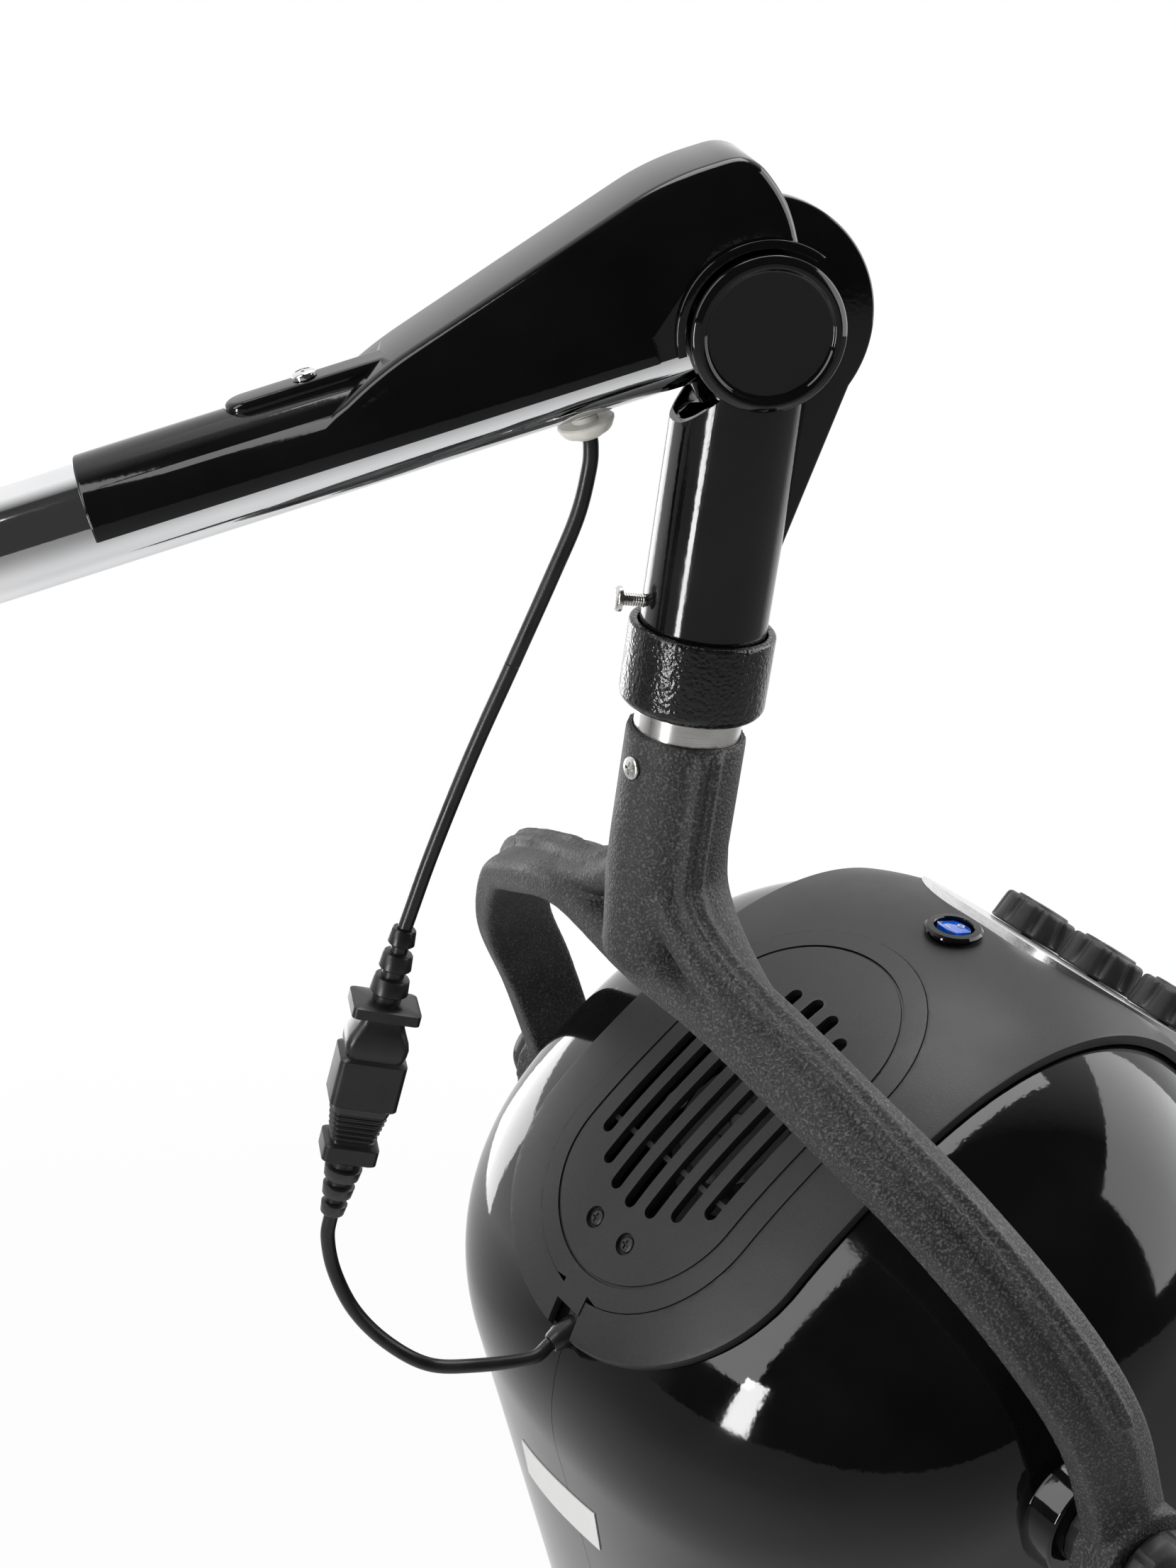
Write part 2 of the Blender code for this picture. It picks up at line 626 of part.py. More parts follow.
def balance_spring():
    """A tension spring from the lever plate back to a lug on the arm, one unbroken wire with hooks."""
    pin = ARM.matrix_basis.inverted() @ DROP.matrix_basis @ Vector((-6 * MM, 0, SPRING_PIN_R))
    anchor = Vector((ANCHOR_U, 0, ARM_OFFSET + ARM_R + 7 * MM))
    axis = (anchor - pin).normalized()
    up = Vector((0, 1, 0)).cross(axis).normalized()
    side = Vector((0, 1, 0))
    coil_start = 46 * MM
    coil_end = (anchor - pin).length - 12 * MM
    points = [pin + side * k * MM for k in (-6.5, -3, 0, 3, 5.4)]
    points.append(pin + axis * 3 * MM + side * 6.3 * MM)
    points.append(pin + axis * (coil_start - 4 * MM) + side * 5.8 * MM)
    per_turn = 8
    steps = SPRING_TURNS * per_turn
    coil = []
    for i in range(steps + 1):
        turn = 2 * pi * i / per_turn
        along_axis = coil_start + (coil_end - coil_start) * i / steps
        coil.append(pin + axis * along_axis + SPRING_R * (side * cos(turn) + up * sin(turn)))
    points += coil
    points.append(pin + axis * (coil_end + 4 * MM) + side * 4.6 * MM)
    points += [anchor - axis * 3 * MM + side * 4.2 * MM, anchor + side * 3.4 * MM, anchor - side * 4 * MM]
    tube("balance_spring", points, SPRING_WIRE_R, ARM, STEEL, 1)
    pitch = (coil_end - coil_start) / SPRING_TURNS
    print(f"balance spring: least gap between turns {1000 * (pitch - 2 * SPRING_WIRE_R):.2f} mm")

    lug_base = ARM_OFFSET + ARM_R + FIT
    outline = [(-9 * MM, lug_base), (9 * MM, lug_base), *arc(0, anchor.z, 4.6 * MM, 0, 180, 8)]
    lug = add("spring_lug", plate([outline, circle(0, anchor.z, 2.2 * MM, 12)], 3 * MM), ARM, STEEL,
              (ANCHOR_U, 0, 0), UPRIGHT)
    combine(lug, tool(rod(ARM_R + FIT, 60 * MM, 40), ARM, (ANCHOR_U, 0, ARM_OFFSET), ALONG_X))


def cover_side(grow=0.0):
    """The cover's side outline in the arm's XZ, peaked over the elbow; `grow` moves its edges outwards."""
    g = grow
    return [
        (COVER_TOE_U - 2 * g, -16 * MM), (COVER_TOE_U - 2 * g, 9 * MM + g), (COVER_TOE_U + 36 * MM, 28 * MM + g),
        (-22 * MM, COVER_PEAK - 3.2 * MM + g), (-13 * MM, COVER_PEAK - 0.8 * MM + g), (-5 * MM, COVER_PEAK + g),
        (6 * MM + g, COVER_PEAK - 2.5 * MM + g), (COVER_NOSE_U - 6 * MM + g, COVER_PEAK - 9 * MM + g),
        (COVER_NOSE_U - 1 * MM + g, COVER_PEAK - 20 * MM), (COVER_NOSE_U + g, COVER_PEAK - 30 * MM),
        (COVER_NOSE_U + g, -16 * MM)]


def elbow_cover():
    """The moulded shell over the elbow: a peaked box open below, running into a sleeve saddled on the tube."""
    made = add("elbow_cover", plate([cover_side()], 2 * COVER_HALF, 4 * MM), ARM, GLOSS_BLACK, (0, 0, 0), UPRIGHT)
    sleeve_r = ARM_R + FIT + COVER_WALL
    sleeve_long = -40 * MM - SLEEVE_END_U
    sleeve = rod(sleeve_r, sleeve_long, 40)
    at = ((-40 * MM + SLEEVE_END_U) / 2, 0, ARM_OFFSET)
    combine(made, tool(sleeve, ARM, at, ALONG_X), "UNION")
    rib = block(70 * MM, 15 * MM, 10 * MM, 2 * MM)
    combine(made, tool(rib, ARM, (-160 * MM, 0, ARM_OFFSET + sleeve_r - 2.5 * MM)), "UNION")
    lip_r = BARREL_R + 3 * MM + LIP_WIDTH
    for side in (-1, 1):
        lip = rod(lip_r, 3.5 * MM, 48)
        combine(made, tool(lip, ARM, (0, side * (COVER_HALF + 0.75 * MM), 0), ALONG_Y), "UNION")
    inner = plate([cover_side(-COVER_WALL)], 2 * (COVER_HALF - COVER_WALL))
    combine(made, tool(inner, ARM, (0, 0, 0), UPRIGHT))
    combine(made, tool(rod(ARM_R + FIT, 500 * MM, 40), ARM, (-200 * MM, 0, ARM_OFFSET), ALONG_X))
    combine(made, tool(rod(BARREL_R + 3 * MM, 8 * BARREL_HALF, 48), ARM, (0, 0, 0), ALONG_Y))
    below = block(600 * MM, 6 * COVER_HALF, 80 * MM)
    combine(made, tool(below, ARM, (-200 * MM, 0, -40 * MM + 0.6 * MM)))
    nose = block(60 * MM, 6 * COVER_HALF, 80 * MM)
    lean = Matrix.Rotation(radians(-8), 4, "Y")
    combine(made, tool(nose, ARM, (30 * MM + 7 * MM, 0, -40 * MM + 21 * MM), lean))
    lever_way = block(60 * MM, LEVER_THICK + 3 * MM, 2 * LEVER_R + 4 * MM)
    combine(made, tool(lever_way, ARM, (30 * MM + 4 * MM, 0, 0)))
    hole_u = -164 * MM
    combine(made, tool(rod(2.2 * MM + FIT, 40 * MM, 16), ARM, (hole_u, 0, 30 * MM)))
    top = ARM_OFFSET + sleeve_r + 2.5 * MM + FIT
    screw("cover_screw", ARM, (hole_u, 0, top), (0, 0, 1), STEEL, 4.6 * MM, 3 * MM, 2.2 * MM,
          top - ARM_OFFSET - ARM_R - FIT)


# Collar and stub

def swivel():
    bore = TUBE_R + FIT
    lip = COLLAR_BOTTOM + 3.4 * MM
    profile = [
        (bore, COLLAR_TOP), (COLLAR_R - 1 * MM, COLLAR_TOP), (COLLAR_R, COLLAR_TOP - 1 * MM),
        (COLLAR_R, COLLAR_BOTTOM + 5 * MM), (COLLAR_R - 1.4 * MM, COLLAR_BOTTOM + 1.6 * MM),
        (COLLAR_R - 5 * MM, COLLAR_BOTTOM), (STUB_R + FIT, COLLAR_BOTTOM), (STUB_R + FIT, lip), (bore, lip)]
    spin(add("collar", turned(profile, closed=True), DROP, HAMMERED), 28)
    low = COLLAR_BOTTOM + 4 * MM
    bush = add("swivel_bush", ring(STUB_R + FIT, STUB_R + 1.1 * MM, low, BUSH_TOP), DROP, WHITE)
    spin(bush, 24)
    combine(bush, tool(rod(2.5 * MM + FIT, 2 * TUBE_R, 10), DROP, (-TUBE_R, 0, SET_SCREW_Z), ALONG_X))
    stub_low = NECK_TOP - NECK_DEPTH + FIT
    stub_high = BUSH_TOP - 2 * MM
    groove = 4 * MM
    deep = 2 * MM
    stub = [
        (STUB_R - STUB_WALL, stub_high), (STUB_R, stub_high), (STUB_R, SET_SCREW_Z + groove),
        (STUB_R - deep, SET_SCREW_Z + groove), (STUB_R - deep, SET_SCREW_Z - groove), (STUB_R, SET_SCREW_Z - groove),
        (STUB_R, stub_low), (STUB_R - STUB_WALL, stub_low)]
    made = spin(add("swivel_stub", turned(stub, closed=True), FORK, STEEL), 24)
    combine(made, tool(rod(2 * MM + FIT, 2 * NECK_R, 10), FORK, (-NECK_R, 0, NECK_TOP - 14 * MM), ALONG_X))
    reach = TUBE_R + 9 * MM
    screw("swivel_set_screw", DROP, (-reach, 0, SET_SCREW_Z), (-1, 0, 0), STEEL, 5 * MM, 3 * MM, 2.5 * MM,
          reach - STUB_R + deep - FIT, cross=False)
    seat = NECK_R + FIT
    screw("neck_screw", FORK, (-seat, 0, NECK_TOP - 14 * MM), (-1, 0, 0), STEEL, 4.6 * MM, 1.6 * MM, 2 * MM,
          seat - STUB_R + STUB_WALL, cross=False)


# Fork

FORK_DEEP = PIVOT_Z - CREST_Z
FORK_HALF_PATH = [
    (4 * MM, 0, CREST_Z), (5 * MM, 0.286 * HUB_IN, CREST_Z + 0.016 * FORK_DEEP),
    (17 * MM, 0.543 * HUB_IN, CREST_Z + 0.109 * FORK_DEEP), (37 * MM, 0.769 * HUB_IN, CREST_Z + 0.238 * FORK_DEEP),
    (64 * MM, 0.955 * HUB_IN, CREST_Z + 0.43 * FORK_DEEP), (95 * MM, HUB_IN + HUB_GAP, CREST_Z + 0.663 * FORK_DEEP)]


def band_section():
    """The fork arm's section: flat inside, a raised ridge along the outside; across, then outwards."""
    b = ARM_BAND
    return [
        (-b + 2 * MM, -ARM_IN), (-b, -ARM_IN + 2 * MM), (-b, ARM_OUT - 4 * MM), (-b + 4 * MM, ARM_OUT),
        (-2 * MM, ARM_OUT + 1.5 * MM), (1.5 * MM, ARM_RIDGE), (4 * MM, ARM_RIDGE), (b - 3 * MM, ARM_OUT - 1 * MM),
        (b, ARM_OUT - 5 * MM), (b, -ARM_IN + 2 * MM), (b - 2 * MM, -ARM_IN)]


def sweep(path, section, across=(1, 0, 0.25)):
    """Sections set square to a path, their width kept towards `across`."""
    rings = []
    last = len(path) - 1
    for i, place in enumerate(path):
        ahead = (path[min(i + 1, last)] - path[max(i - 1, 0)]).normalized()
        wide = Vector(across)
        wide = (wide - ahead * wide.dot(ahead)).normalized()
        out = wide.cross(ahead)
        rings.append([place + wide * w + out * o for w, o in section])
    return loft(rings)


def fork():
    """The moulded fork: a neck for the stub, spread into two ridged arms that end in pivot hubs."""
    end = (PIVOT_X - 5 * MM, HUB_IN + ARM_IN + FIT, PIVOT_Z + 16 * MM)
    half = [*FORK_HALF_PATH, end]
    mirrored = [(x, -y, z) for x, y, z in half[:0:-1]]
    made = add("fork", sweep(smooth_path([*mirrored, *half], 2), band_section()), FORK, GRAINED)
    neck_foot = FORK_HALF_PATH[0][2] - ARM_IN + 2 * MM
    neck_bend = NECK_TOP - NECK_DEPTH - 8 * MM
    neck = [
        (0, NECK_TOP), (NECK_R - 1 * MM, NECK_TOP), (NECK_R, NECK_TOP - 1.5 * MM), (NECK_R, neck_bend),
        (NECK_R - 3 * MM, neck_foot), (0, neck_foot)]
    combine(made, spin(tool(turned(neck), FORK), 28), "UNION")
    oval = [(20 * MM * cos(a), 11 * MM * sin(a)) for a in (2 * pi * i / 12 for i in range(12))]
    for side in (-1, 1):
        bend = smooth_path(
            [(1 * MM, side * 9 * MM, neck_bend + 14 * MM), (2 * MM, side * 15 * MM, neck_bend - 8 * MM),
             (4 * MM, side * 36 * MM, CREST_Z + 12 * MM), (8 * MM, side * 78 * MM, CREST_Z - 8 * MM)], 2)
        combine(made, tool(sweep(bend, oval, (1, 0, 0)), FORK), "UNION")
        at = (PIVOT_X, side * (HUB_IN + HUB_THICK / 2), PIVOT_Z)
        combine(made, tool(rod(HUB_R, HUB_THICK, 24), FORK, at, ALONG_Y), "UNION")
    bore = rod(STUB_R + FIT, NECK_DEPTH + 20 * MM, 28)
    combine(made, tool(bore, FORK, (0, 0, NECK_TOP - NECK_DEPTH / 2 + 10 * MM)))
    combine(made, tool(rod(2 * MM + FIT, 2 * NECK_R, 10), FORK, (-NECK_R, 0, NECK_TOP - 14 * MM), ALONG_X))
    combine(made, tool(rod(PIVOT_BOLT_R + FIT, 3 * HUB_IN, 16), FORK, (PIVOT_X, 0, PIVOT_Z), ALONG_Y))


def tilt_pivots():
    """Each side: a boss on the hood, a friction washer, a bolt through the fork's hub and a hand knob on it."""
    for name, side in (("right", -1), ("left", 1)):
        turn = ALONG_Y if side > 0 else UPRIGHT
        washer_in = BOSS_OUT + FIT
        spin(add(f"friction_washer_{name}", ring(PIVOT_BOLT_R + FIT, WASHER_R, washer_in, HUB_IN - FIT), FORK, WHITE,
                 (PIVOT_X, 0, PIVOT_Z), turn), 18)
        head = HUB_IN + HUB_THICK + FIT
        bolt_in = BOSS_OUT - 14 * MM
        bolt = [(0, head + 10 * MM), (PIVOT_BOLT_R, head + 10 * MM), (PIVOT_BOLT_R, bolt_in), (0, bolt_in)]
        spin(add(f"pivot_bolt_{name}", turned(bolt), FORK, STEEL, (PIVOT_X, 0, PIVOT_Z), turn), 16)
        top = head + 16 * MM
        knob = [
            (0, top), (13 * MM, top), (17 * MM, top - 3 * MM), (19 * MM, top - 8 * MM), (19 * MM, head + 3 * MM),
            (15 * MM, head), (PIVOT_BOLT_R + FIT, head), (PIVOT_BOLT_R + FIT, head + 10 * MM + FIT),
            (0, head + 10 * MM + FIT)]
        made = spin(add(f"tilt_knob_{name}", turned(knob), FORK, MATTE, (PIVOT_X, 0, PIVOT_Z), turn), 24)
        flutes = bmesh.new()
        for i in range(8):
            a = 2 * pi * i / 8
            place = Matrix.Translation((20.5 * MM * cos(a), 20.5 * MM * sin(a), head + 8 * MM))
            bmesh.ops.create_cone(flutes, cap_ends=True, segments=8, radius1=3 * MM, radius2=3 * MM,
                                  depth=30 * MM, matrix=place)
        combine(made, tool(to_mesh(flutes), FORK, (PIVOT_X, 0, PIVOT_Z), turn))


# Hood surface

def signed_power(value, power):
    return copysign(abs(value) ** power, value)


def dome_point(theta, drop, grow):
    """A point of the hood: theta from the front round the left, drop 0 at the crown, 1 at the widest, 2 at the rim."""
    c = cos(theta)
    s = sin(theta)
    spread = (abs(c) ** DOME_POWER + abs(s) ** DOME_POWER) ** (-1 / DOME_POWER)
    deep = (DOME_FRONT if c > 0 else DOME_BACK) + grow
    flare = FLARE_FRONT if c > 0 else FLARE_BACK
    x = deep * c * spread
    y = (DOME_SIDE + grow) * s * spread
    if drop <= 1:
        lean = drop * pi / 2
        wide = sin(lean) ** (2 / DOME_POWER)
        high = max(cos(lean), 0.0) ** (2 / DOME_POWER)
        return Vector((DOME_X + x * wide, y * wide, DOME_Z + (DOME_RISE + grow) * high))
    q = drop - 1
    rim_x = DOME_X + x * (1 + flare)
    rim = RIM_Z + RIM_SLOPE * rim_x
    return Vector((DOME_X + x * (1 + flare * q * q), y * (1 + FLARE_SIDE * q * q), DOME_Z + (rim - DOME_Z) * q))


def crown_point(y, angle, grow):
    """A point of the hood's top by its side distance and its angle, 0 at the front and 180 degrees at the back."""
    shrink = max(0.0, 1 - abs(y / (DOME_SIDE + grow)) ** DOME_POWER) ** (1 / DOME_POWER)
    c = signed_power(cos(angle), 2 / DOME_POWER)
    s = signed_power(sin(angle), 2 / DOME_POWER)
    deep = (DOME_FRONT if c > 0 else DOME_BACK) + grow
    return Vector((DOME_X + deep * shrink * c, y, DOME_Z + (DOME_RISE + grow) * shrink * s))


def crown_height(x, y, grow):
    """The height of the hood's top over a point of its plan."""
    deep = (DOME_FRONT if x > DOME_X else DOME_BACK) + grow
    left = 1 - abs(y / (DOME_SIDE + grow)) ** DOME_POWER - abs((x - DOME_X) / deep) ** DOME_POWER
    return DOME_Z + (DOME_RISE + grow) * max(0.0, left) ** (1 / DOME_POWER)


def sheet(rows):
    """An open grid of points as a mesh."""
    bm = bmesh.new()
    made = [[bm.verts.new(p) for p in row] for row in rows]
    for a, b in zip(made, made[1:]):
        for i in range(len(a) - 1):
            bm.faces.new((a[i], a[i + 1], b[i + 1], b[i]))
    bmesh.ops.remove_doubles(bm, verts=bm.verts, dist=0.00001)
    return to_mesh(bm)


def slab(low_rows, high_rows):
    """A closed body between two like grids of points."""
    bm = bmesh.new()
    low = [[bm.verts.new(p) for p in row] for row in low_rows]
    high = [[bm.verts.new(p) for p in row] for row in high_rows]
    count = len(low)
    wide = len(low[0])
    for grid in (low, high):
        for a, b in zip(grid, grid[1:]):
            for i in range(wide - 1):
                bm.faces.new((a[i], a[i + 1], b[i + 1], b[i]))
    for i in range(wide - 1):
        bm.faces.new((low[0][i], low[0][i + 1], high[0][i + 1], high[0][i]))
        bm.faces.new((low[-1][i], low[-1][i + 1], high[-1][i + 1], high[-1][i]))
    for j in range(count - 1):
        bm.faces.new((low[j][0], low[j + 1][0], high[j + 1][0], high[j][0]))
        bm.faces.new((low[j][-1], low[j + 1][-1], high[j + 1][-1], high[j][-1]))
    return to_mesh(bm)


def lid_outline(shrink=0.0, steps=10):
    """The lid's stadium in plan, its round ends at front and back."""
    half = LID_HALF - shrink
    straight = LID_LENGTH - LID_HALF
    front = arc(DOME_X + straight, 0, half, -90, 90, steps)
    back = arc(DOME_X - straight, 0, half, 90, 270, steps)
    return front + back


def prism(outline, low, high):
    """A tall cutter from a plan outline."""
    mesh = plate([outline], high - low)
    mesh.transform(Matrix.Translation((0, 0, (low + high) / 2)))
    return mesh


# Hood pieces

def front_turn():
    """The control plate's own frame: its face leans back from the front."""
    lean = Matrix.Rotation(-PANEL_LEAN, 4, "Y")
    return Matrix.Translation((CONTROL_X - CONTROL_THICK / 2, 0, CONTROL_Z)) @ lean @ ALONG_X


def fascia_outline(grow=0.0):
    """The control plate's outline, arched above the row of knobs; its first axis runs down the face."""
    low = CONTROL_TALL - CONTROL_RISE + grow
    high = -CONTROL_TALL - CONTROL_RISE - grow
    half = CONTROL_HALF + grow
    foot = CONTROL_CORNER + grow
    arch = 0.95 * CONTROL_TALL + grow
    left = arc(low - foot, half - foot, foot, 0, 90, 4) + arc(high + arch, half - arch, arch, 90, 180, 6)
    return left + [(x, -y) for x, y in reversed(left)]


def front_window(grow):
    mesh = plate([fascia_outline(grow)], 120 * MM)
    mesh.transform(front_turn())
    return mesh


def hood_shells():
    """Two gloss mouldings with pivot bosses, joined down the middle of the back under the top panel."""
    drops = [0.3, 0.46, 0.6, 0.74, 0.87, 1.0, 1.3, 1.65, 2.06]
    around = 20
    for name, side in (("shell_left", 1), ("shell_right", -1)):
        rows = []
        for drop in [0.0, *drops]:
            row = [dome_point(side * pi * i / around, drop, 0.0) for i in range(around + 1)]
            rows.append([p + Vector((0, side * FIT / 2, 0)) for p in row])
        made = add(name, sheet(rows), HOOD, GLOSS_BLACK)
        wall = made.modifiers.new("wall", "SOLIDIFY")
        wall.thickness = SHELL_WALL
        wall.offset = -1.0
        wall.use_even_offset = True
        combine(made, tool(block(1, 1, 0.2), HOOD, (0, 0, RIM_Z), rim_lean() @ Matrix.Translation((0, 0, -0.1))))
        start = DOME_SIDE - 10 * MM
        boss = rod(BOSS_R, BOSS_OUT - start, 24, BOSS_R - 2 * MM)
        at = (0, side * (start + BOSS_OUT) / 2, 0)
        combine(made, tool(boss, HOOD, at, ALONG_Y if side > 0 else UPRIGHT), "UNION")
        combine(made, tool(prism(lid_outline(LID_LEDGE), 60 * MM, 200 * MM), HOOD))
        combine(made, tool(front_window(FIT), HOOD))
        combine(made, tool(rod(SWITCH_R + FIT, 60 * MM, 20), HOOD, switch_at(), along(switch_normal())))
        combine(made, tool(rod(GLAND_R + FIT, 30 * MM, 14), HOOD, gland_at(), along(GLAND_AXIS)))
        bolt = rod(PIVOT_BOLT_R + FIT, 60 * MM, 16)
        combine(made, tool(bolt, HOOD, (0, side * DOME_SIDE, 0), ALONG_Y))


def rim_lean():
    """The slope of the hood's mouth."""
    return Matrix.Rotation(-atan2(RIM_SLOPE, 1), 4, "Y")


GLAND_AXIS = Vector((0.958, 0, -0.285)).normalized()
GLAND_R = 5.6 * MM
GLAND_X = TAB_BACK - 8 * MM


def gland_at():
    return Vector((GLAND_X, 0, crown_height(GLAND_X, 0, 0)))


def cord_gland():
    """The rubber bush where the cord goes into the back of the hood."""
    profile = [
        (CORD_R + FIT, 7 * MM), (GLAND_R, 7 * MM), (GLAND_R, -5 * MM), (GLAND_R - 1.2 * MM, -9 * MM),
        (CORD_R + FIT, -9 * MM)]
    spin(add("cord_gland", turned(profile, closed=True), HOOD, CORD_BLACK, gland_at(), along(GLAND_AXIS)), 14)


def panel_outline():
    """The top panel in plan: straight sides, a round back end notched for the lid's tab, the front left long."""
    deep = PANEL_ROUND_X - PANEL_BACK
    notch = TAB_HALF + FIT
    end = pi - atan2(notch, PANEL_HALF)
    turns = [pi / 2 + (end - pi / 2) * i / 9 for i in range(10)]
    left = [(PANEL_ROUND_X + deep * cos(a), PANEL_HALF * sin(a)) for a in turns]
    root = DOME_X - LID_LENGTH + 4 * MM
    right = [(x, -y) for x, y in reversed(left)]
    front = DOME_X + 2 * DOME_FRONT
    return [*left, (root, left[-1][1]), (root, -left[-1][1]), *right, (front, -PANEL_HALF), (front, PANEL_HALF)]


def crown_patch(half_width, angles, across, low, high):
    """A closed slab over the hood's top between two growths, as wide as half_width says."""
    grids = []
    for grow in (low, high):
        rows = []
        for angle in angles:
            half = half_width(crown_point(0, angle, 0).x)
            rows.append([crown_point(half * (2 * i / across - 1), angle, grow) for i in range(across + 1)])
        grids.append(rows)
    return slab(*grids)


def top_panel():
    """The matte moulding over the hood's crown and front, with the lid's opening, the switch and the controls."""
    angles = [radians(a) for a in (1, 5, 11, 18, 26, 35, 45, 55, 65, 75, 85, 94, 102, 110, 118, 126, 134)]
    patch = crown_patch(lambda x: PANEL_HALF + 8 * MM, angles, 12, SEAT, SEAT + PANEL_THICK)
    made = add("top_panel", patch, HOOD, MATTE)
    combine(made, tool(prism(panel_outline(), DOME_Z - 55 * MM, 260 * MM), HOOD), "INTERSECT")
    combine(made, tool(prism(lid_outline(-FIT), 60 * MM, 220 * MM), HOOD))
    combine(made, tool(front_window(FIT), HOOD))
    combine(made, tool(rod(SWITCH_R + FIT, 40 * MM, 20), HOOD, switch_at(), along(switch_normal())))


def vent_lid():
    """The vented lid over the fan: a domed stadium with a tab at the back, slots and two counterbored screws."""
    angles = [radians(a) for a in (30, 42, 53, 63, 72, 81, 90, 98, 106, 114, 122, 131)]
    made = add("vent_lid", crown_patch(lambda x: LID_HALF + 8 * MM, angles, 10, SEAT, SEAT + LID_THICK), HOOD, MATTE)
    outline = lid_outline()
    tab = [(TAB_BACK, TAB_HALF), (TAB_BACK, -TAB_HALF)]
    keep = [p for p in outline if not (p[0] < DOME_X - LID_LENGTH + 4 * MM and abs(p[1]) < TAB_HALF + 2 * MM)]
    split = sum(1 for p in keep if not (p[0] < DOME_X and p[1] < 0))
    root = [(DOME_X - LID_LENGTH + 2.5 * MM, TAB_HALF), *tab, (DOME_X - LID_LENGTH + 2.5 * MM, -TAB_HALF)]
    ordered = keep[:split] + root + keep[split:]
    combine(made, tool(prism(ordered, 40 * MM, 220 * MM), HOOD), "INTERSECT")
    slots = bmesh.new()
    middle = (SLOT_COUNT - 1) / 2
    for i in range(SLOT_COUNT):
        y = (i - middle) * SLOT_PITCH
        bow = 1 - (abs(i - middle) / (middle + 1.2)) ** 2
        front = DOME_X + 27 * MM + 35.7 * MM * bow
        rear = DOME_X - 25.2 * MM - 35.7 * MM * bow
        x_mid = (front + rear) / 2
        bmesh.ops.create_cube(slots, size=1.0, matrix=Matrix.Translation((x_mid, y, 130 * MM))
                              @ Matrix.Diagonal((front - rear, SLOT_WIDTH, 120 * MM, 1)))
    bars = [e for e in slots.edges if abs(e.verts[0].co.z - e.verts[1].co.z) > 1 * MM]
    bmesh.ops.bevel(slots, geom=bars, offset=0.42 * SLOT_WIDTH, segments=2, affect="EDGES", profile=0.5)
    combine(made, tool(to_mesh(slots), HOOD))
    for number, side in ((1, 1), (2, -1)):
        at = Vector((LID_SCREW_X, side * LID_SCREW_Y, crown_height(LID_SCREW_X, side * LID_SCREW_Y, SEAT)))
        up = lid_normal(at)
        combine(made, tool(rod(2 * MM + FIT, 40 * MM, 16), HOOD, at, along(up)))
        combine(made, tool(rod(5 * MM, 20 * MM, 20), HOOD, at + up * (10 * MM + 2 * MM), along(up)))
        screw(f"lid_screw_{number}", HOOD, at + up * (2 * MM + FIT), up, STEEL, 3.6 * MM, 1.6 * MM, 1.7 * MM, 2 * MM)


def lid_normal(at):
    step = 1 * MM
    across = Vector((2 * step, 0, crown_height(at.x + step, at.y, 0) - crown_height(at.x - step, at.y, 0)))
    aside = Vector((0, 2 * step, crown_height(at.x, at.y + step, 0) - crown_height(at.x, at.y - step, 0)))
    return across.cross(aside).normalized()


# Switch and controls

def switch_at():
    return Vector((SWITCH_X, SWITCH_Y, crown_height(SWITCH_X, SWITCH_Y, SEAT + PANEL_THICK)))


def switch_normal():
    return lid_normal(switch_at())


def rocker_switch():
    """A round switch: a bezelled body through the panel and a rocking lens in it."""
    turn = along(switch_normal())
    seat = 1.6 * MM
    body = [
        (0, -9 * MM), (SWITCH_R - 2 * MM, -9 * MM), (SWITCH_R - 2 * MM, seat + 2.2 * MM),
        (SWITCH_R + 1.5 * MM, seat + 1.8 * MM), (SWITCH_R + 2.5 * MM, seat + FIT), (SWITCH_R - FIT, seat),
        (SWITCH_R - FIT, -14 * MM), (0, -14 * MM)]
    made = spin(add("switch_body", turned(body), HOOD, MATTE, switch_at(), turn), 20)
    rocker_r = SWITCH_R - 2 * MM - ROCK_ROOM
    wide = 2 * rocker_r * 0.8
    side = [(-rocker_r, 3.6 * MM), (0, 1.6 * MM), (rocker_r * 0.97, 0.4 * MM), (0.5 * rocker_r, -5 * MM),
            (-0.5 * rocker_r, -5 * MM)]
    lens = add("rocker", plate([side], wide, 0.5 * MM), HOOD, BLUE, switch_at() + switch_normal() * 1.6 * MM,
               turn @ UPRIGHT)
    combine(lens, tool(rod(rocker_r, 60 * MM, 24), HOOD, switch_at(), turn), "INTERSECT")
    return made, lens


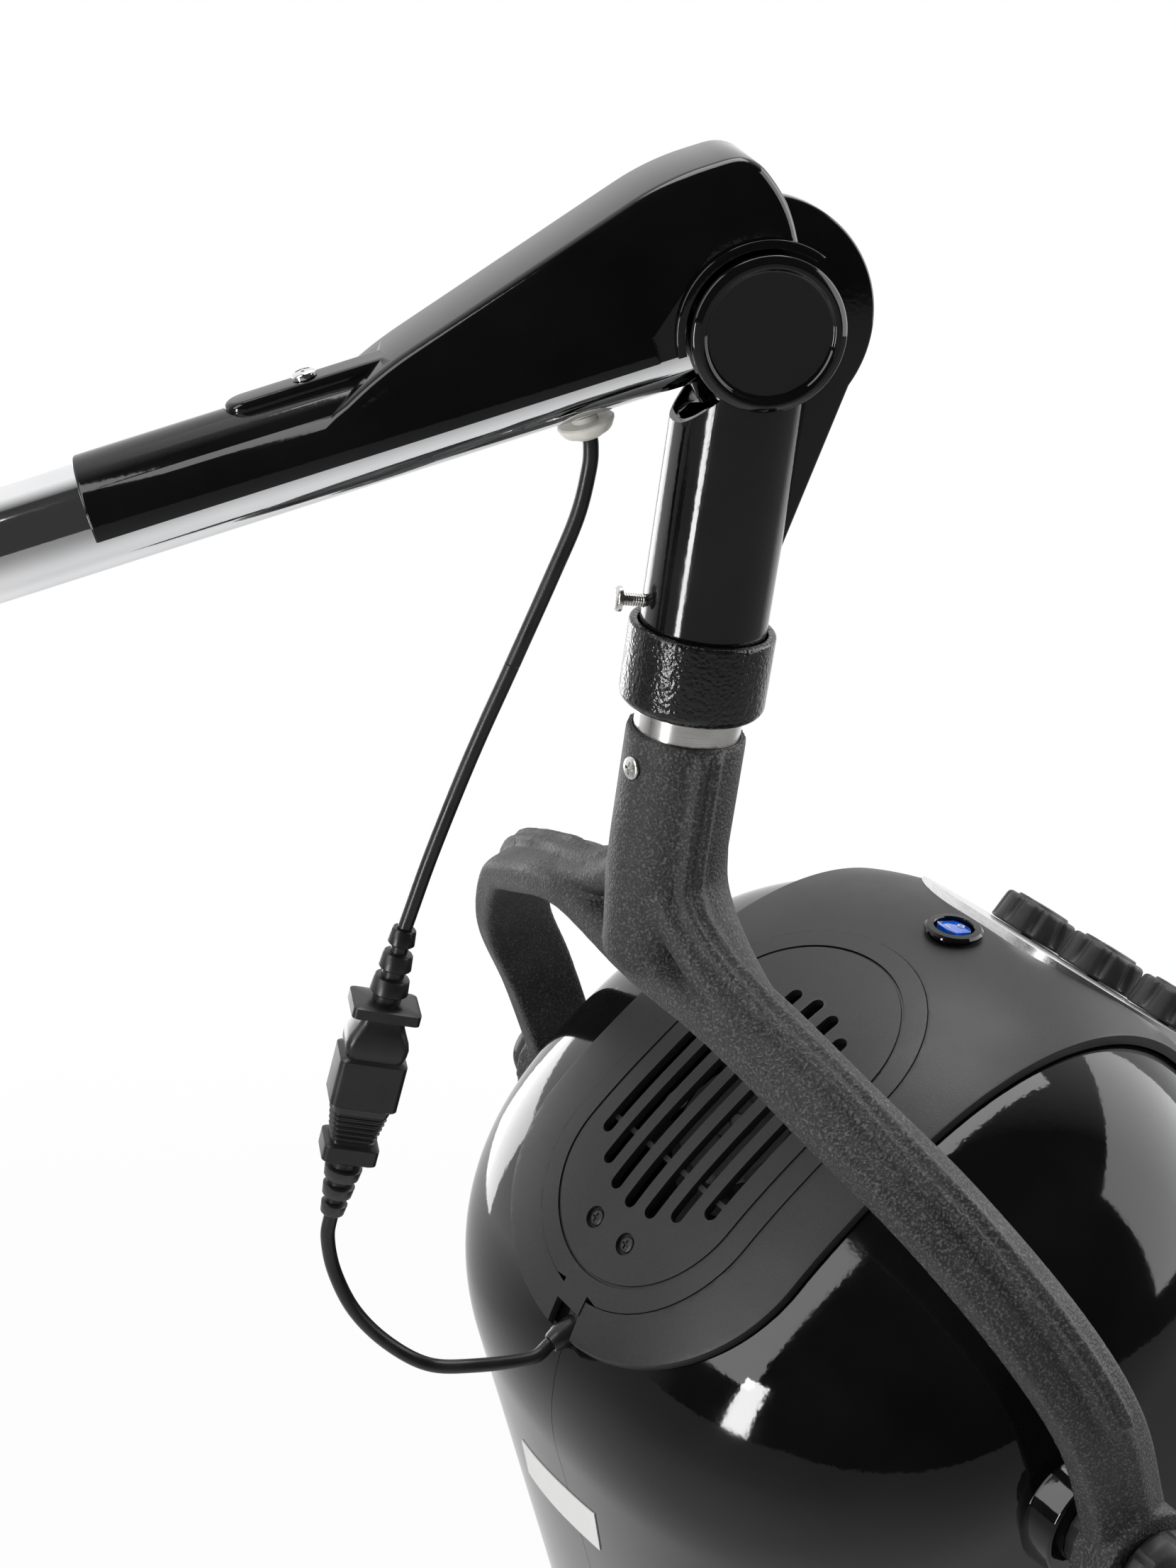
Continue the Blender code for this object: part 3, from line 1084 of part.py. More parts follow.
def controls():
    """The bright plate, three fluted knobs and the units behind them."""
    face = front_turn()
    spots = [(KNOB_PITCH * i + KNOB_SHIFT, f"{i + 2}") for i in (-1, 0, 1)]
    holes = [circle(0, y, SHAFT_R + PLAY, 12) for y, _ in spots]
    add("control_plate", plate([fascia_outline(), *holes], CONTROL_THICK), HOOD, SATIN, (0, 0, 0), face)
    for y, number in spots:
        base = CONTROL_THICK / 2 + PLAY
        knob = add(f"knob_{number}", knob_mesh(), HOOD, MATTE, (0, 0, 0), face @ Matrix.Translation((0, y, base)))
        stem_long = CONTROL_THICK + 12 * MM
        stem = rod(SHAFT_R, stem_long, 12)
        combine(knob, tool(stem, HOOD, (0, 0, 0), face @ Matrix.Translation((0, y, base + 3 * MM - stem_long / 2))),
                "UNION")
    for (y, _), name in zip(spots, ("timer", "heat_control", "speed_control")):
        back = -CONTROL_THICK / 2 - FIT
        deep = 14 * MM if name == "timer" else 12 * MM
        unit = add(name, block(32 * MM, 32 * MM, deep), HOOD, LINER_GREY, (0, 0, 0),
                   face @ Matrix.Translation((0, y, back - deep / 2)))
        bore = rod(SHAFT_R + FIT, 30 * MM, 12)
        combine(unit, tool(bore, HOOD, (0, 0, 0), face @ Matrix.Translation((0, y, back))))


def knob_mesh():
    """A knob with a skirt, nine flutes and a raised grip rib with a pointer end."""
    flutes = 9
    outline = []
    for i in range(flutes * 3):
        a = 2 * pi * i / (flutes * 3)
        dip = 0.92 if i % 3 == 2 else 1.0
        outline.append((KNOB_R * dip * cos(a), KNOB_R * dip * sin(a)))
    heights = ((0.0, 0.98), (1.5 * MM, 1.0), (KNOB_LONG - 5 * MM, 0.95), (KNOB_LONG - 3.5 * MM, 0.88))
    body = [[Vector((x * s, y * s, z)) for x, y in outline] for z, s in heights]
    made = loft(body)
    bm = bmesh.new()
    bm.from_mesh(made)
    top = max(bm.faces, key=lambda f: f.calc_center_median().z)
    grip = bmesh.ops.inset_individual(bm, faces=[top], thickness=1.5 * MM)
    del grip
    bm.faces.ensure_lookup_table()
    top = max(bm.faces, key=lambda f: (f.calc_center_median().z, -f.calc_area()))
    lift = bmesh.ops.extrude_discrete_faces(bm, faces=[top])
    cap = lift["faces"][0]
    for vert in cap.verts:
        vert.co.z += 3.5 * MM
        vert.co.x *= 0.42
    return to_mesh(bm)


# Inside the hood

def liner_point(theta, drop):
    """The liner: the hood's form set inwards, with a lower crown."""
    p = dome_point(theta, drop, -LINER_GAP)
    if drop <= 1:
        p.z = DOME_Z + (p.z - DOME_Z) * LINER_RISE / (DOME_RISE - LINER_GAP)
    return p


def liner_height(radius):
    """The height of the liner's crown at a distance from its middle."""
    left = 1 - (radius / (DOME_SIDE - LINER_GAP)) ** DOME_POWER
    return DOME_Z + LINER_RISE * left ** (1 / DOME_POWER)


def liner():
    """The perforated bowl over the head, its rows of air holes through the wall."""
    around = 28
    drops = [0.2, 0.36, 0.58, 0.8, 1.0, 1.45, 2.0]
    rows = [[liner_point(2 * pi * i / around, d) for i in range(around + 1)] for d in [0.0, *drops]]
    made = add("liner", sheet(rows), HOOD, LINER_GREY)
    wall = made.modifiers.new("wall", "SOLIDIFY")
    wall.thickness = LINER_WALL
    wall.offset = 1.0
    holes = bmesh.new()
    for drop, count in ((0.46, 6), (0.68, 8), (0.9, 10)):
        for i in range(count):
            theta = 2 * pi * (i + 0.5) / count
            at = liner_point(theta, drop)
            out = (at - Vector((DOME_X, 0, DOME_Z - 20 * MM))).normalized()
            place = Matrix.Translation(at) @ along(out)
            bmesh.ops.create_cone(holes, cap_ends=True, segments=6, radius1=8 * MM, radius2=8 * MM, depth=20 * MM,
                                  matrix=place)
    combine(made, tool(to_mesh(holes), HOOD))
    bmesh_hole = rod(HEATER_R - 18 * MM, 60 * MM, 24)
    combine(made, tool(bmesh_hole, HOOD, (DOME_X, 0, DOME_Z + LINER_RISE)))


def rim_ring():
    """The trim that closes the gap between the shells and the liner round the mouth."""
    around = 32
    drop = Vector((0, 0, -RIM_THICK))
    gap = Vector((0, 0, -FIT))
    rings = []
    for i in range(around):
        theta = 2 * pi * i / around
        outer = dome_point(theta, 2.0, 0.0) + gap
        inner = liner_point(theta, 2.0) + gap
        inner = outer + (inner - outer) * 0.97
        rings.append([outer, outer + drop * 0.6 + (inner - outer) * 0.03, outer + drop + (inner - outer) * 0.12,
                      inner + drop + (outer - inner) * 0.12, inner + drop * 0.6, inner])
    bm = bmesh.new()
    rows = [[bm.verts.new(p) for p in one] for one in rings]
    for i in range(around):
        a = rows[i]
        b = rows[(i + 1) % around]
        for k in range(6):
            bm.faces.new((a[k], a[(k + 1) % 6], b[(k + 1) % 6], b[k]))
    add("rim_ring", to_mesh(bm), HOOD, MATTE)


def mount_outline(z, shrink):
    """The hood's inside at a height, as an outline for what seats there."""
    left = 1 - ((z - DOME_Z) / (DOME_RISE - SHELL_WALL)) ** DOME_POWER
    wide = left ** (1 / DOME_POWER)
    points = []
    for i in range(36):
        a = 2 * pi * i / 36
        c = cos(a)
        s = sin(a)
        spread = (abs(c) ** DOME_POWER + abs(s) ** DOME_POWER) ** (-1 / DOME_POWER)
        deep = (DOME_FRONT if c > 0 else DOME_BACK) - SHELL_WALL
        x = DOME_X + c * spread * (deep * wide - shrink)
        y = s * spread * ((DOME_SIDE - SHELL_WALL) * wide - shrink)
        points.append((min(x, MOUNT_FRONT), y))
    return points


def blower():
    """Motor on its mount under the lid, fan below, then the heater over the bowl."""
    holes = []
    for i in range(6):
        a = i * 60
        hole = arc(DOME_X, 0, 40 * MM, a + 8, a + 52, 2) + arc(DOME_X, 0, 66 * MM, a + 52, a + 8, 4)
        holes.append(hole)
    shaft_hole = circle(DOME_X, 0, FAN_SHAFT_R + PLAY, 12)
    outline = mount_outline(MOUNT_Z, 4.1 * MM)
    add("motor_mount", plate([outline, shaft_hole, *holes], MOUNT_THICK), HOOD, POWDER,
        (0, 0, MOUNT_Z - MOUNT_THICK / 2))
    low = MOUNT_Z + FIT
    high = low + MOTOR_TALL
    shaft_bore = FAN_SHAFT_R + FIT
    motor = [
        (shaft_bore, high - 4 * MM), (10 * MM, high - 4 * MM), (11 * MM, high - 6 * MM), (MOTOR_R - 3 * MM, high - 6 * MM),
        (MOTOR_R, high - 9 * MM), (MOTOR_R, low + 3 * MM), (MOTOR_R - 2 * MM, low), (shaft_bore, low)]
    spin(add("motor", turned(motor, closed=True), HOOD, STEEL, (DOME_X, 0, 0)), 20)
    fan_high = MOUNT_Z - MOUNT_THICK - 4 * MM
    fan_low = fan_high - FAN_TALL
    hub = [
        (0, high - 6 * MM), (FAN_SHAFT_R, high - 6 * MM), (FAN_SHAFT_R, fan_high), (13 * MM, fan_high),
        (15 * MM, fan_low + 3 * MM), (FAN_R, fan_low + 2.5 * MM), (FAN_R, fan_low), (0, fan_low)]
    fan = spin(add("fan", turned(hub), HOOD, LINER_GREY, (DOME_X, 0, 0)), 24)
    blades = bmesh.new()
    for i in range(9):
        turn = Matrix.Rotation(2 * pi * i / 9, 4, "Z")
        place = turn @ Matrix.Translation((0.62 * FAN_R, 0, (fan_low + fan_high) / 2 + 0.5 * MM))
        lean = Matrix.Rotation(radians(28), 4, "Z")
        size = Matrix.Diagonal((0.62 * FAN_R, 2 * MM, FAN_TALL - 2 * MM, 1))
        bmesh.ops.create_cube(blades, size=1.0, matrix=place @ lean @ size)
    combine(fan, tool(to_mesh(blades), HOOD, (DOME_X, 0, 0)), "UNION")

    top = DOME_Z + LINER_RISE + LINER_WALL + FIT
    foot = liner_height(HEATER_R + 8 * MM) + LINER_WALL + PLAY + FIT
    frame = add("heater_frame", ring(HEATER_R + 8 * MM, HEATER_R + 11 * MM, foot, top + 10 * MM), HOOD, SATIN,
                (DOME_X, 0, 0))
    spin(frame, 24)
    spokes = block(2 * (HEATER_R + 9 * MM), 4 * MM, 2 * MM)
    for turn in (0, pi / 2):
        combine(frame, tool(spokes, HOOD, (DOME_X, 0, top + 1.2 * MM), Matrix.Rotation(turn, 4, "Z")), "UNION")
    points = []
    steps = 30
    for i in range(steps + 1):
        a = 2 * pi * 1.9 * i / steps
        r = HEATER_R - 16 * MM * i / steps
        points.append((DOME_X + r * cos(a), r * sin(a), top + 2.2 * MM + FIT + 2.5 * MM))
    tube("heater_coil", points, 2.2 * MM, HOOD, STEEL, 1)


# Cord

CORD_DOWN_A = [
    (-57.2, 0, -44.6), (-55.3, 0, -49.1), (-53.9, 0, -54), (-53.4, 0, -63), (-55.5, 0, -82), (-62.5, -0.5, -107),
    (-73, -1, -142)]
CORD_DOWN_B = [
    (-73.13, -1, -142.45), (-84.5, -1.5, -180), (-95.5, -2, -222), (-103, -2.5, -256)]
CORD_LOW = [
    (-120, -4, -389), (-120.5, -4, -401), (-116, -4.5, -418), (-106, -6.5, -436), (-91, -9.5, -450), (-73, -13, -458.5),
    (-54, -15.5, -457.5)]


def gland_mouth():
    """Where the lead meets the gland and the way it points there, in the drop frame."""
    hood = FORK.matrix_basis @ HOOD.matrix_basis
    way = (hood.to_3x3() @ GLAND_AXIS).normalized()
    return hood @ (gland_at() - GLAND_AXIS * (9 * MM + FIT)), way


def cords():
    """The lead from the arm, through an inline coupler, to the back of the hood; points chosen by eye."""
    for name, route in (("cord_upper_a", CORD_DOWN_A), ("cord_upper_b", CORD_DOWN_B), ("cord_lower", CORD_LOW)):
        stops = [Vector(p) * MM for p in route]
        if name == "cord_lower":
            mouth, way = gland_mouth()
            stops += [mouth - way * 11 * MM, mouth]
        tube(name, smooth_path(stops, 3), CORD_R, DROP, CORD_BLACK, 2)


def coupler_section(wide, deep):
    """A rounded oblong, flat on the broad sides."""
    return rounded(2 * wide, 2 * deep, min(wide, deep) * 0.75, 2)


def coupler_body(stations):
    """A body lofted through oblong stations of height, half width and half depth."""
    return loft([[Vector((x, y, z)) for x, y in coupler_section(w, d)] for z, w, d in stations])


def coupler():
    """The inline connector: socket half above, plug half below, each with a ribbed strain relief."""
    top = Vector(CORD_DOWN_B[-1]) * MM
    foot = Vector(CORD_LOW[0]) * MM
    axis = (foot - top).normalized()
    length = (foot - top).length
    wide = Vector((0, 1, 0)).cross(axis).normalized()
    deep = axis.cross(wide)
    turn = Matrix((wide, deep, axis)).transposed().to_4x4()
    w = PLUG_HALF_WIDE
    d = PLUG_HALF_DEEP
    split = 0.59 * length
    relief_a = ribs(FIT, 33 * MM)
    upper = relief_a + [
        (33.5 * MM, w, d), (38.5 * MM, w, d), (39 * MM, 9 * MM, 8 * MM), (42 * MM, 9.5 * MM, 8.5 * MM),
        (52 * MM, w - 1 * MM, d - 1 * MM), (57 * MM, w - 2 * MM, d - 1.5 * MM), (58 * MM, w, d), (split, w, d)]
    add("connector_socket", coupler_body(upper), DROP, CORD_BLACK, top, turn)
    start = split + FIT
    lower = [
        (start, w - 2 * MM, d - 1 * MM), (start + 18 * MM, 9 * MM, 8 * MM), (start + 18.5 * MM, 11.5 * MM, 9.5 * MM),
        (start + 26 * MM, 11.5 * MM, 9.5 * MM), (start + 26.5 * MM, 7.5 * MM, 7 * MM)]
    first = start + 28 * MM
    lower += [(length - z, x, y) for z, x, y in reversed(ribs(FIT, length - first))]
    add("connector_plug", coupler_body(lower), DROP, CORD_BLACK, top, turn)


def ribs(start, end):
    """Stations of a strain relief that thickens in ribs from its tip."""
    count = 3
    made = []
    step = (end - start) / count
    for i in range(count):
        z = start + step * i
        r = 5 * MM + 1.2 * MM * i
        made += [(z, r, r), (z + 0.62 * step, r + 0.6 * MM, r + 0.6 * MM), (z + 0.64 * step, r - 1.4 * MM, r - 1.4 * MM),
                 (z + 0.98 * step, r - 1.4 * MM, r - 1.4 * MM)]
    return made


wall_bracket()
arm_root()
arm_tube()
fork_end()
grommet()
down_tube()
elbow_hardware()
balance_spring()
elbow_cover()
swivel()
fork()
tilt_pivots()
hood_shells()
cord_gland()
top_panel()
vent_lid()
rocker_switch()
controls()
liner()
rim_ring()
blower()
cords()
coupler()
bpy.context.view_layer.update()
print(f"elbow at {tuple(round(v, 4) for v in ELBOW_AT)}")
print(f"pieces: {sum(1 for o in PARTS.objects if o.type != 'EMPTY')}")
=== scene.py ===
# %% [markdown]
# # A hood dryer on a wall arm, dressed over its frame
# The frame holds the solids and their joints. This lesson puts fine surfaces and finishes over
# them, piece by piece, and lights them as a studio would. Everything is in metres, with +Z up and
# +X out from the wall.

# %% Load the frame
import json
from functools import lru_cache
from math import atan2, copysign, cos, hypot, pi, radians, sin

import bmesh
import bpy
from mathutils import Matrix, Vector
from mathutils.bvhtree import BVHTree


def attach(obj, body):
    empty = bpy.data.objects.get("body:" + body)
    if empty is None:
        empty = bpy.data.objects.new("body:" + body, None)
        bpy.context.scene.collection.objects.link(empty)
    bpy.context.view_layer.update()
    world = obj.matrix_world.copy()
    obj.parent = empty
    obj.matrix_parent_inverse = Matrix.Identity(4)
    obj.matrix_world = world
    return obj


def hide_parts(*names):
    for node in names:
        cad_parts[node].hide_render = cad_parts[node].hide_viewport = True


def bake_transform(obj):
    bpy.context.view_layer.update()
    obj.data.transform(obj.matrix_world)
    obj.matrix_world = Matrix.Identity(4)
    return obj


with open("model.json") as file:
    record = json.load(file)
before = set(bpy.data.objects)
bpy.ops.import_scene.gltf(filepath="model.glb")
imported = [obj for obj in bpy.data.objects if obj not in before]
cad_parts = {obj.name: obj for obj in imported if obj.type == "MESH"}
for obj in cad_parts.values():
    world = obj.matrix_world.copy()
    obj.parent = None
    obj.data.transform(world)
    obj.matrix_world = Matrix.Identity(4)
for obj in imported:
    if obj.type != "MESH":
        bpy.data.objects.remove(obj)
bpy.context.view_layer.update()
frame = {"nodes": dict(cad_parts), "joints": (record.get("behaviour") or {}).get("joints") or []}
NODES = frame["nodes"]

# %% [markdown]
# The pieces are easiest to draw in the frame of the part they belong to: the sloping arm, the plumb
# down tube, the swivelled fork and the tilted hood. Typing world coordinates for each would work
# once, but the joints already say where those frames are, so they are built from the joints' own
# places.

# %% Working frames
MM = 0.001
JOINTS = {j["name"]: j for j in frame["joints"]}
ELBOW = Vector(JOINTS["elbow_lift"]["pos_m"])
PIVOT = Vector(JOINTS["hood_tilt"]["pos_m"])
ARM_RISE = radians(22.9)
FORK_SWIVEL = radians(23.6)
HOOD_TILT = radians(42.5)
DROP = Matrix.Translation(ELBOW)
ARM = DROP @ Matrix.Rotation(-ARM_RISE, 4, "Y")
SWIVEL = Matrix.Rotation(FORK_SWIVEL, 4, "Z")
FORK = DROP @ SWIVEL
HOOD = Matrix.Translation(PIVOT) @ SWIVEL @ Matrix.Rotation(-HOOD_TILT, 4, "Y")
print("elbow", [round(v, 3) for v in ELBOW], "hood pivot", [round(v, 3) for v in PIVOT])

# %% [markdown]
# The photograph looks down on the elbow from the wall's side, with the camera rolled a little. A
# lens could be set by eye, but a straight tube shows every error, so the camera stands where the
# straight edges put it. Its focal length in pixels is turned into millimetres on a 36 mm sensor.

# %% Camera
FOCAL_PIXELS = 3600
IMAGE_HEIGHT = 2212
SENSOR_MM = 36
CAMERA_YAW = radians(-13.58)
CAMERA_PITCH = radians(-22.42)
CAMERA_ROLL = radians(-8.2)
CAMERA_AT = ELBOW + Vector((-0.2556, -0.9073, 0.1942))


def photo_camera():
    yaw = Matrix.Rotation(CAMERA_YAW, 3, "Z")
    pitch = Matrix.Rotation(CAMERA_PITCH, 3, "X")
    roll = Matrix.Rotation(CAMERA_ROLL, 3, "Y")
    turn = yaw @ pitch @ roll
    lens = bpy.data.cameras.new("photo_camera")
    lens.sensor_fit = "VERTICAL"
    lens.sensor_height = SENSOR_MM
    lens.lens = SENSOR_MM * FOCAL_PIXELS / IMAGE_HEIGHT
    lens.clip_start = 0.02
    made = bpy.data.objects.new("photo_camera", lens)
    made.matrix_world = Matrix((turn.col[0], turn.col[2], -turn.col[1])).transposed().to_4x4()
    made.matrix_world.translation = CAMERA_AT
    bpy.context.scene.collection.objects.link(made)
    bpy.context.scene.camera = made
    return made


CAMERA = photo_camera()
print(f"lens {CAMERA.data.lens:.1f} mm")

# %% [markdown]
# Shader sums read best as sums. Nodes could be linked one by one, which hides the sum in a page of
# links. The class below wraps a socket, so that `1 - mask` adds the Math node by itself, and one
# method makes every other node from its type, its settings and its inputs.

# %% Shader sums in Python
class Wire:
    """A socket in a shader. Sums of wires and numbers become Math nodes."""

    def __init__(self, tree, socket=None):
        self.tree = tree
        self.socket = socket

    def node(self, kind, settings=None, inputs=None, out=0):
        made = self.tree.nodes.new("ShaderNode" + kind)
        for key, value in (settings or {}).items():
            setattr(made, key, value)
        for key, value in (inputs or {}).items():
            if isinstance(value, Wire):
                self.tree.links.new(value.socket, made.inputs[key])
            else:
                made.inputs[key].default_value = value
        return Wire(self.tree, made.outputs[out])

    def math(self, how, first, second):
        return self.node("Math", {"operation": how}, {0: first, 1: second})

    def __add__(self, other):
        return self.math("ADD", self, other)

    def __sub__(self, other):
        return self.math("SUBTRACT", self, other)

    def __rsub__(self, other):
        return self.math("SUBTRACT", other, self)

    def __mul__(self, other):
        return self.math("MULTIPLY", self, other)

    __radd__ = __add__
    __rmul__ = __mul__


print("wires add up with +, - and *")

# %% [markdown]
# These few helpers are what nearly every finish uses: a place on the piece, cloudy noise, a stretch
# of a value to the range 0 to 1, a mix of two colours and a bump. Images would need unwrapped
# meshes. The place here is the object's own, so a finish needs no map and rides with its part.

# %% Helpers for finishes
def place(w):
    return w.node("TexCoord", out="Object")


def stretched(w, x, y, z):
    return w.node("Mapping", {}, {"Vector": place(w), "Scale": (x, y, z)})


def cloud(w, at, scale, detail=2.0):
    return w.node("TexNoise", {}, {"Vector": at, "Scale": scale, "Detail": detail}, "Fac")


def cells(w, at, scale):
    return w.node("TexVoronoi", {"feature": "SMOOTH_F1"}, {"Vector": at, "Scale": scale}, "Distance")


def span(w, value, low, high):
    return w.node("MapRange", {}, {"Value": value, "From Min": low, "From Max": high})


def tint(w, mask, first, second):
    return w.node("Mix", {"data_type": "RGBA"}, {0: mask, 6: (*first, 1), 7: (*second, 1)}, 2)


def relief(w, height, deep, strength=1.0):
    return w.node("Bump", {}, {"Height": height, "Distance": deep, "Strength": strength})


LOOKS = {}


def finish(name, paint):
    """A material whose shader inputs come from a paint function."""
    look = bpy.data.materials.new(name)
    look.use_nodes = True
    shader = look.node_tree.nodes["Principled BSDF"]
    for socket, value in paint(Wire(look.node_tree)).items():
        if isinstance(value, Wire):
            look.node_tree.links.new(value.socket, shader.inputs[socket])
        else:
            shader.inputs[socket].default_value = value
    LOOKS[name] = look


print("helpers for finishes ready")

# %% [markdown]
# The gloss parts are injection moulded and polished, or enamelled steel. The collar has a hammered
# coat, and the bracket a powdered one. A plain black shader would be a perfect mirror and look like
# a drawing, so faint handling clouds and a trace of orange peel break the gloss.

# %% Black finishes
def gloss_black(w):
    clouds = span(w, cloud(w, place(w), 22, 4), 0.35, 0.75)
    peel = cloud(w, place(w), 320, 1)
    return {
        "Base Color": tint(w, clouds, (0.0022, 0.0022, 0.0024), (0.005, 0.005, 0.0053)),
        "Roughness": 0.035 + 0.055 * clouds,
        "Normal": relief(w, peel, 0.00006, 0.35),
    }


def black_enamel(w):
    clouds = span(w, cloud(w, place(w), 30, 4), 0.3, 0.7)
    wipes = span(w, cloud(w, stretched(w, 90, 90, 9), 1, 3), 0.45, 0.75)
    peel = cloud(w, place(w), 420, 1)
    return {
        "Base Color": tint(w, clouds, (0.0025, 0.0025, 0.0027), (0.0055, 0.0055, 0.0058)),
        "Roughness": 0.06 + 0.07 * clouds + 0.05 * wipes,
        "Normal": relief(w, peel, 0.00008, 0.4),
    }


def hammered_black(w):
    dimples = cells(w, place(w), 640)
    grain = cloud(w, place(w), 900, 2)
    return {
        "Base Color": tint(w, span(w, dimples, 0.1, 0.7), (0.005, 0.005, 0.0055), (0.011, 0.011, 0.012)),
        "Roughness": 0.10 + 0.10 * grain,
        "Normal": relief(w, 0.7 * dimples + 0.4 * grain, 0.0007, 0.6),
    }


def powder_black(w):
    grain = cloud(w, place(w), 1100, 3)
    return {
        "Base Color": tint(w, span(w, grain, 0.35, 0.7), (0.010, 0.010, 0.011), (0.022, 0.022, 0.023)),
        "Roughness": 0.34 + 0.16 * grain,
        "Normal": relief(w, grain, 0.00022, 0.5),
    }


for paint in (gloss_black, black_enamel, hammered_black, powder_black):
    finish(paint.__name__, paint)
print("black finishes:", ", ".join(LOOKS))

# %% [markdown]
# The fork is a glass-filled moulding with a coarse, dusty grain, and the hood's top is finer
# grained plastic. Both are dark greys with speckles. A colour alone would look printed: the grain
# has to be seen at the edges of highlights, so it is in the bump too.

# %% Grained plastics
def grained_charcoal(w):
    fine = cloud(w, place(w), 900, 3)
    pits = cells(w, place(w), 800)
    patches = span(w, cloud(w, place(w), 34, 3), 0.35, 0.7)
    speck = span(w, fine, 0.50, 0.72)
    shade = tint(w, patches, (0.016, 0.016, 0.017), (0.028, 0.028, 0.029))
    light = (0.13, 0.13, 0.132, 1)
    return {
        "Base Color": w.node("Mix", {"data_type": "RGBA"}, {0: 0.85 * speck, 6: shade, 7: light}, 2),
        "Roughness": 0.50 + 0.16 * patches,
        "Normal": relief(w, fine + 0.6 * pits, 0.0007, 0.75),
    }


def matte_black(w):
    fine = cloud(w, place(w), 2100, 2)
    broad = span(w, cloud(w, place(w), 26, 3), 0.3, 0.7)
    return {
        "Base Color": tint(w, span(w, fine, 0.35, 0.75), (0.010, 0.010, 0.011), (0.024, 0.024, 0.025)),
        "Roughness": 0.40 + 0.10 * broad,
        "Normal": relief(w, fine, 0.00016, 0.45),
    }


def liner_grey(w):
    fine = cloud(w, place(w), 1600, 2)
    broad = span(w, cloud(w, place(w), 18, 3), 0.3, 0.7)
    return {
        "Base Color": tint(w, broad, (0.045, 0.045, 0.047), (0.070, 0.070, 0.073)),
        "Roughness": 0.42 + 0.12 * fine,
        "Normal": relief(w, fine, 0.00012, 0.4),
    }


def cord_black(w):
    fine = cloud(w, place(w), 1300, 2)
    broad = span(w, cloud(w, place(w), 60, 3), 0.3, 0.7)
    return {
        "Base Color": tint(w, broad, (0.008, 0.008, 0.0085), (0.015, 0.015, 0.016)),
        "Roughness": 0.26 + 0.14 * broad,
        "Normal": relief(w, fine, 0.00008, 0.35),
    }


for paint in (grained_charcoal, matte_black, liner_grey, cord_black):
    finish(paint.__name__, paint)
print("plastics made; finishes so far:", len(LOOKS))

# %% [markdown]
# Chrome is nearly a mirror and takes its look from the room. Turned steel has fine rings or long
# draw marks. An anisotropic shader could stand for them, but noise stretched along one axis also
# holds up close by. The lens is clear blue plastic with a lamp behind it.

# %% Metals, nylon and the lens
def chrome(w):
    smear = span(w, cloud(w, place(w), 24, 4), 0.35, 0.75)
    draw = cloud(w, stretched(w, 12, 700, 700), 1, 2)
    return {
        "Base Color": tint(w, smear, (0.80, 0.81, 0.82), (0.88, 0.88, 0.89)),
        "Metallic": 1.0,
        "Roughness": 0.03 + 0.05 * smear,
        "Normal": relief(w, draw, 0.00002, 0.25),
    }


def bright_steel(w):
    rings = cloud(w, stretched(w, 60, 60, 2600), 1, 3)
    stain = span(w, cloud(w, place(w), 120, 3), 0.3, 0.7)
    return {
        "Base Color": tint(w, stain, (0.62, 0.61, 0.59), (0.76, 0.75, 0.73)),
        "Metallic": 1.0,
        "Roughness": 0.14 + 0.16 * rings,
        "Normal": relief(w, rings, 0.00010, 0.5),
    }


def satin_silver(w):
    brush = cloud(w, stretched(w, 900, 30, 900), 1, 3)
    return {
        "Base Color": tint(w, span(w, brush, 0.3, 0.7), (0.68, 0.68, 0.69), (0.82, 0.82, 0.83)),
        "Metallic": 1.0,
        "Roughness": 0.18 + 0.12 * brush,
        "Normal": relief(w, brush, 0.00006, 0.4),
    }


def white_nylon(w):
    fine = cloud(w, place(w), 900, 2)
    grime = span(w, cloud(w, place(w), 160, 3), 0.45, 0.8)
    return {
        "Base Color": tint(w, grime, (0.84, 0.82, 0.77), (0.70, 0.67, 0.60)),
        "Roughness": 0.36 + 0.12 * fine,
        "Normal": relief(w, fine, 0.00010, 0.4),
        "Subsurface Weight": 0.15,
        "Subsurface Radius": (0.003, 0.002, 0.001),
    }


def blue_lens(w):
    glow = span(w, cloud(w, place(w), 260, 2), 0.25, 0.8)
    return {
        "Base Color": tint(w, glow, (0.004, 0.030, 0.26), (0.015, 0.13, 0.62)),
        "Roughness": 0.05 + 0.04 * glow,
        "Coat Weight": 0.6,
        "Emission Color": tint(w, glow, (0.0, 0.02, 0.18), (0.01, 0.12, 0.62)),
        "Emission Strength": 0.35,
    }


def white_label(w):
    fibre = cloud(w, place(w), 1400, 3)
    return {
        "Base Color": tint(w, fibre, (0.84, 0.84, 0.83), (0.76, 0.76, 0.75)),
        "Roughness": 0.30 + 0.10 * fibre,
    }


for paint in (chrome, bright_steel, satin_silver, white_nylon, blue_lens, white_label):
    finish(paint.__name__, paint)
print("finishes:", ", ".join(LOOKS))

# %% [markdown]
# A studio shot of black gloss is lit by what it mirrors. A picture of a studio could surround the
# object, but a plain rule does as well: a white sweep behind and a dark room in front. The world is
# white to the camera, and to mirrors only on its own side, so that the near faces stay black.

# %% World
ROOM_DARK = 0.04
ROOM_FILL = 0.30


def mirror_ray(w):
    """1 for a ray that comes off gloss or through glass."""
    glossy = w.node("LightPath", out="Is Glossy Ray")
    through = w.node("LightPath", out="Is Transmission Ray")
    return w.math("MAXIMUM", glossy, through)


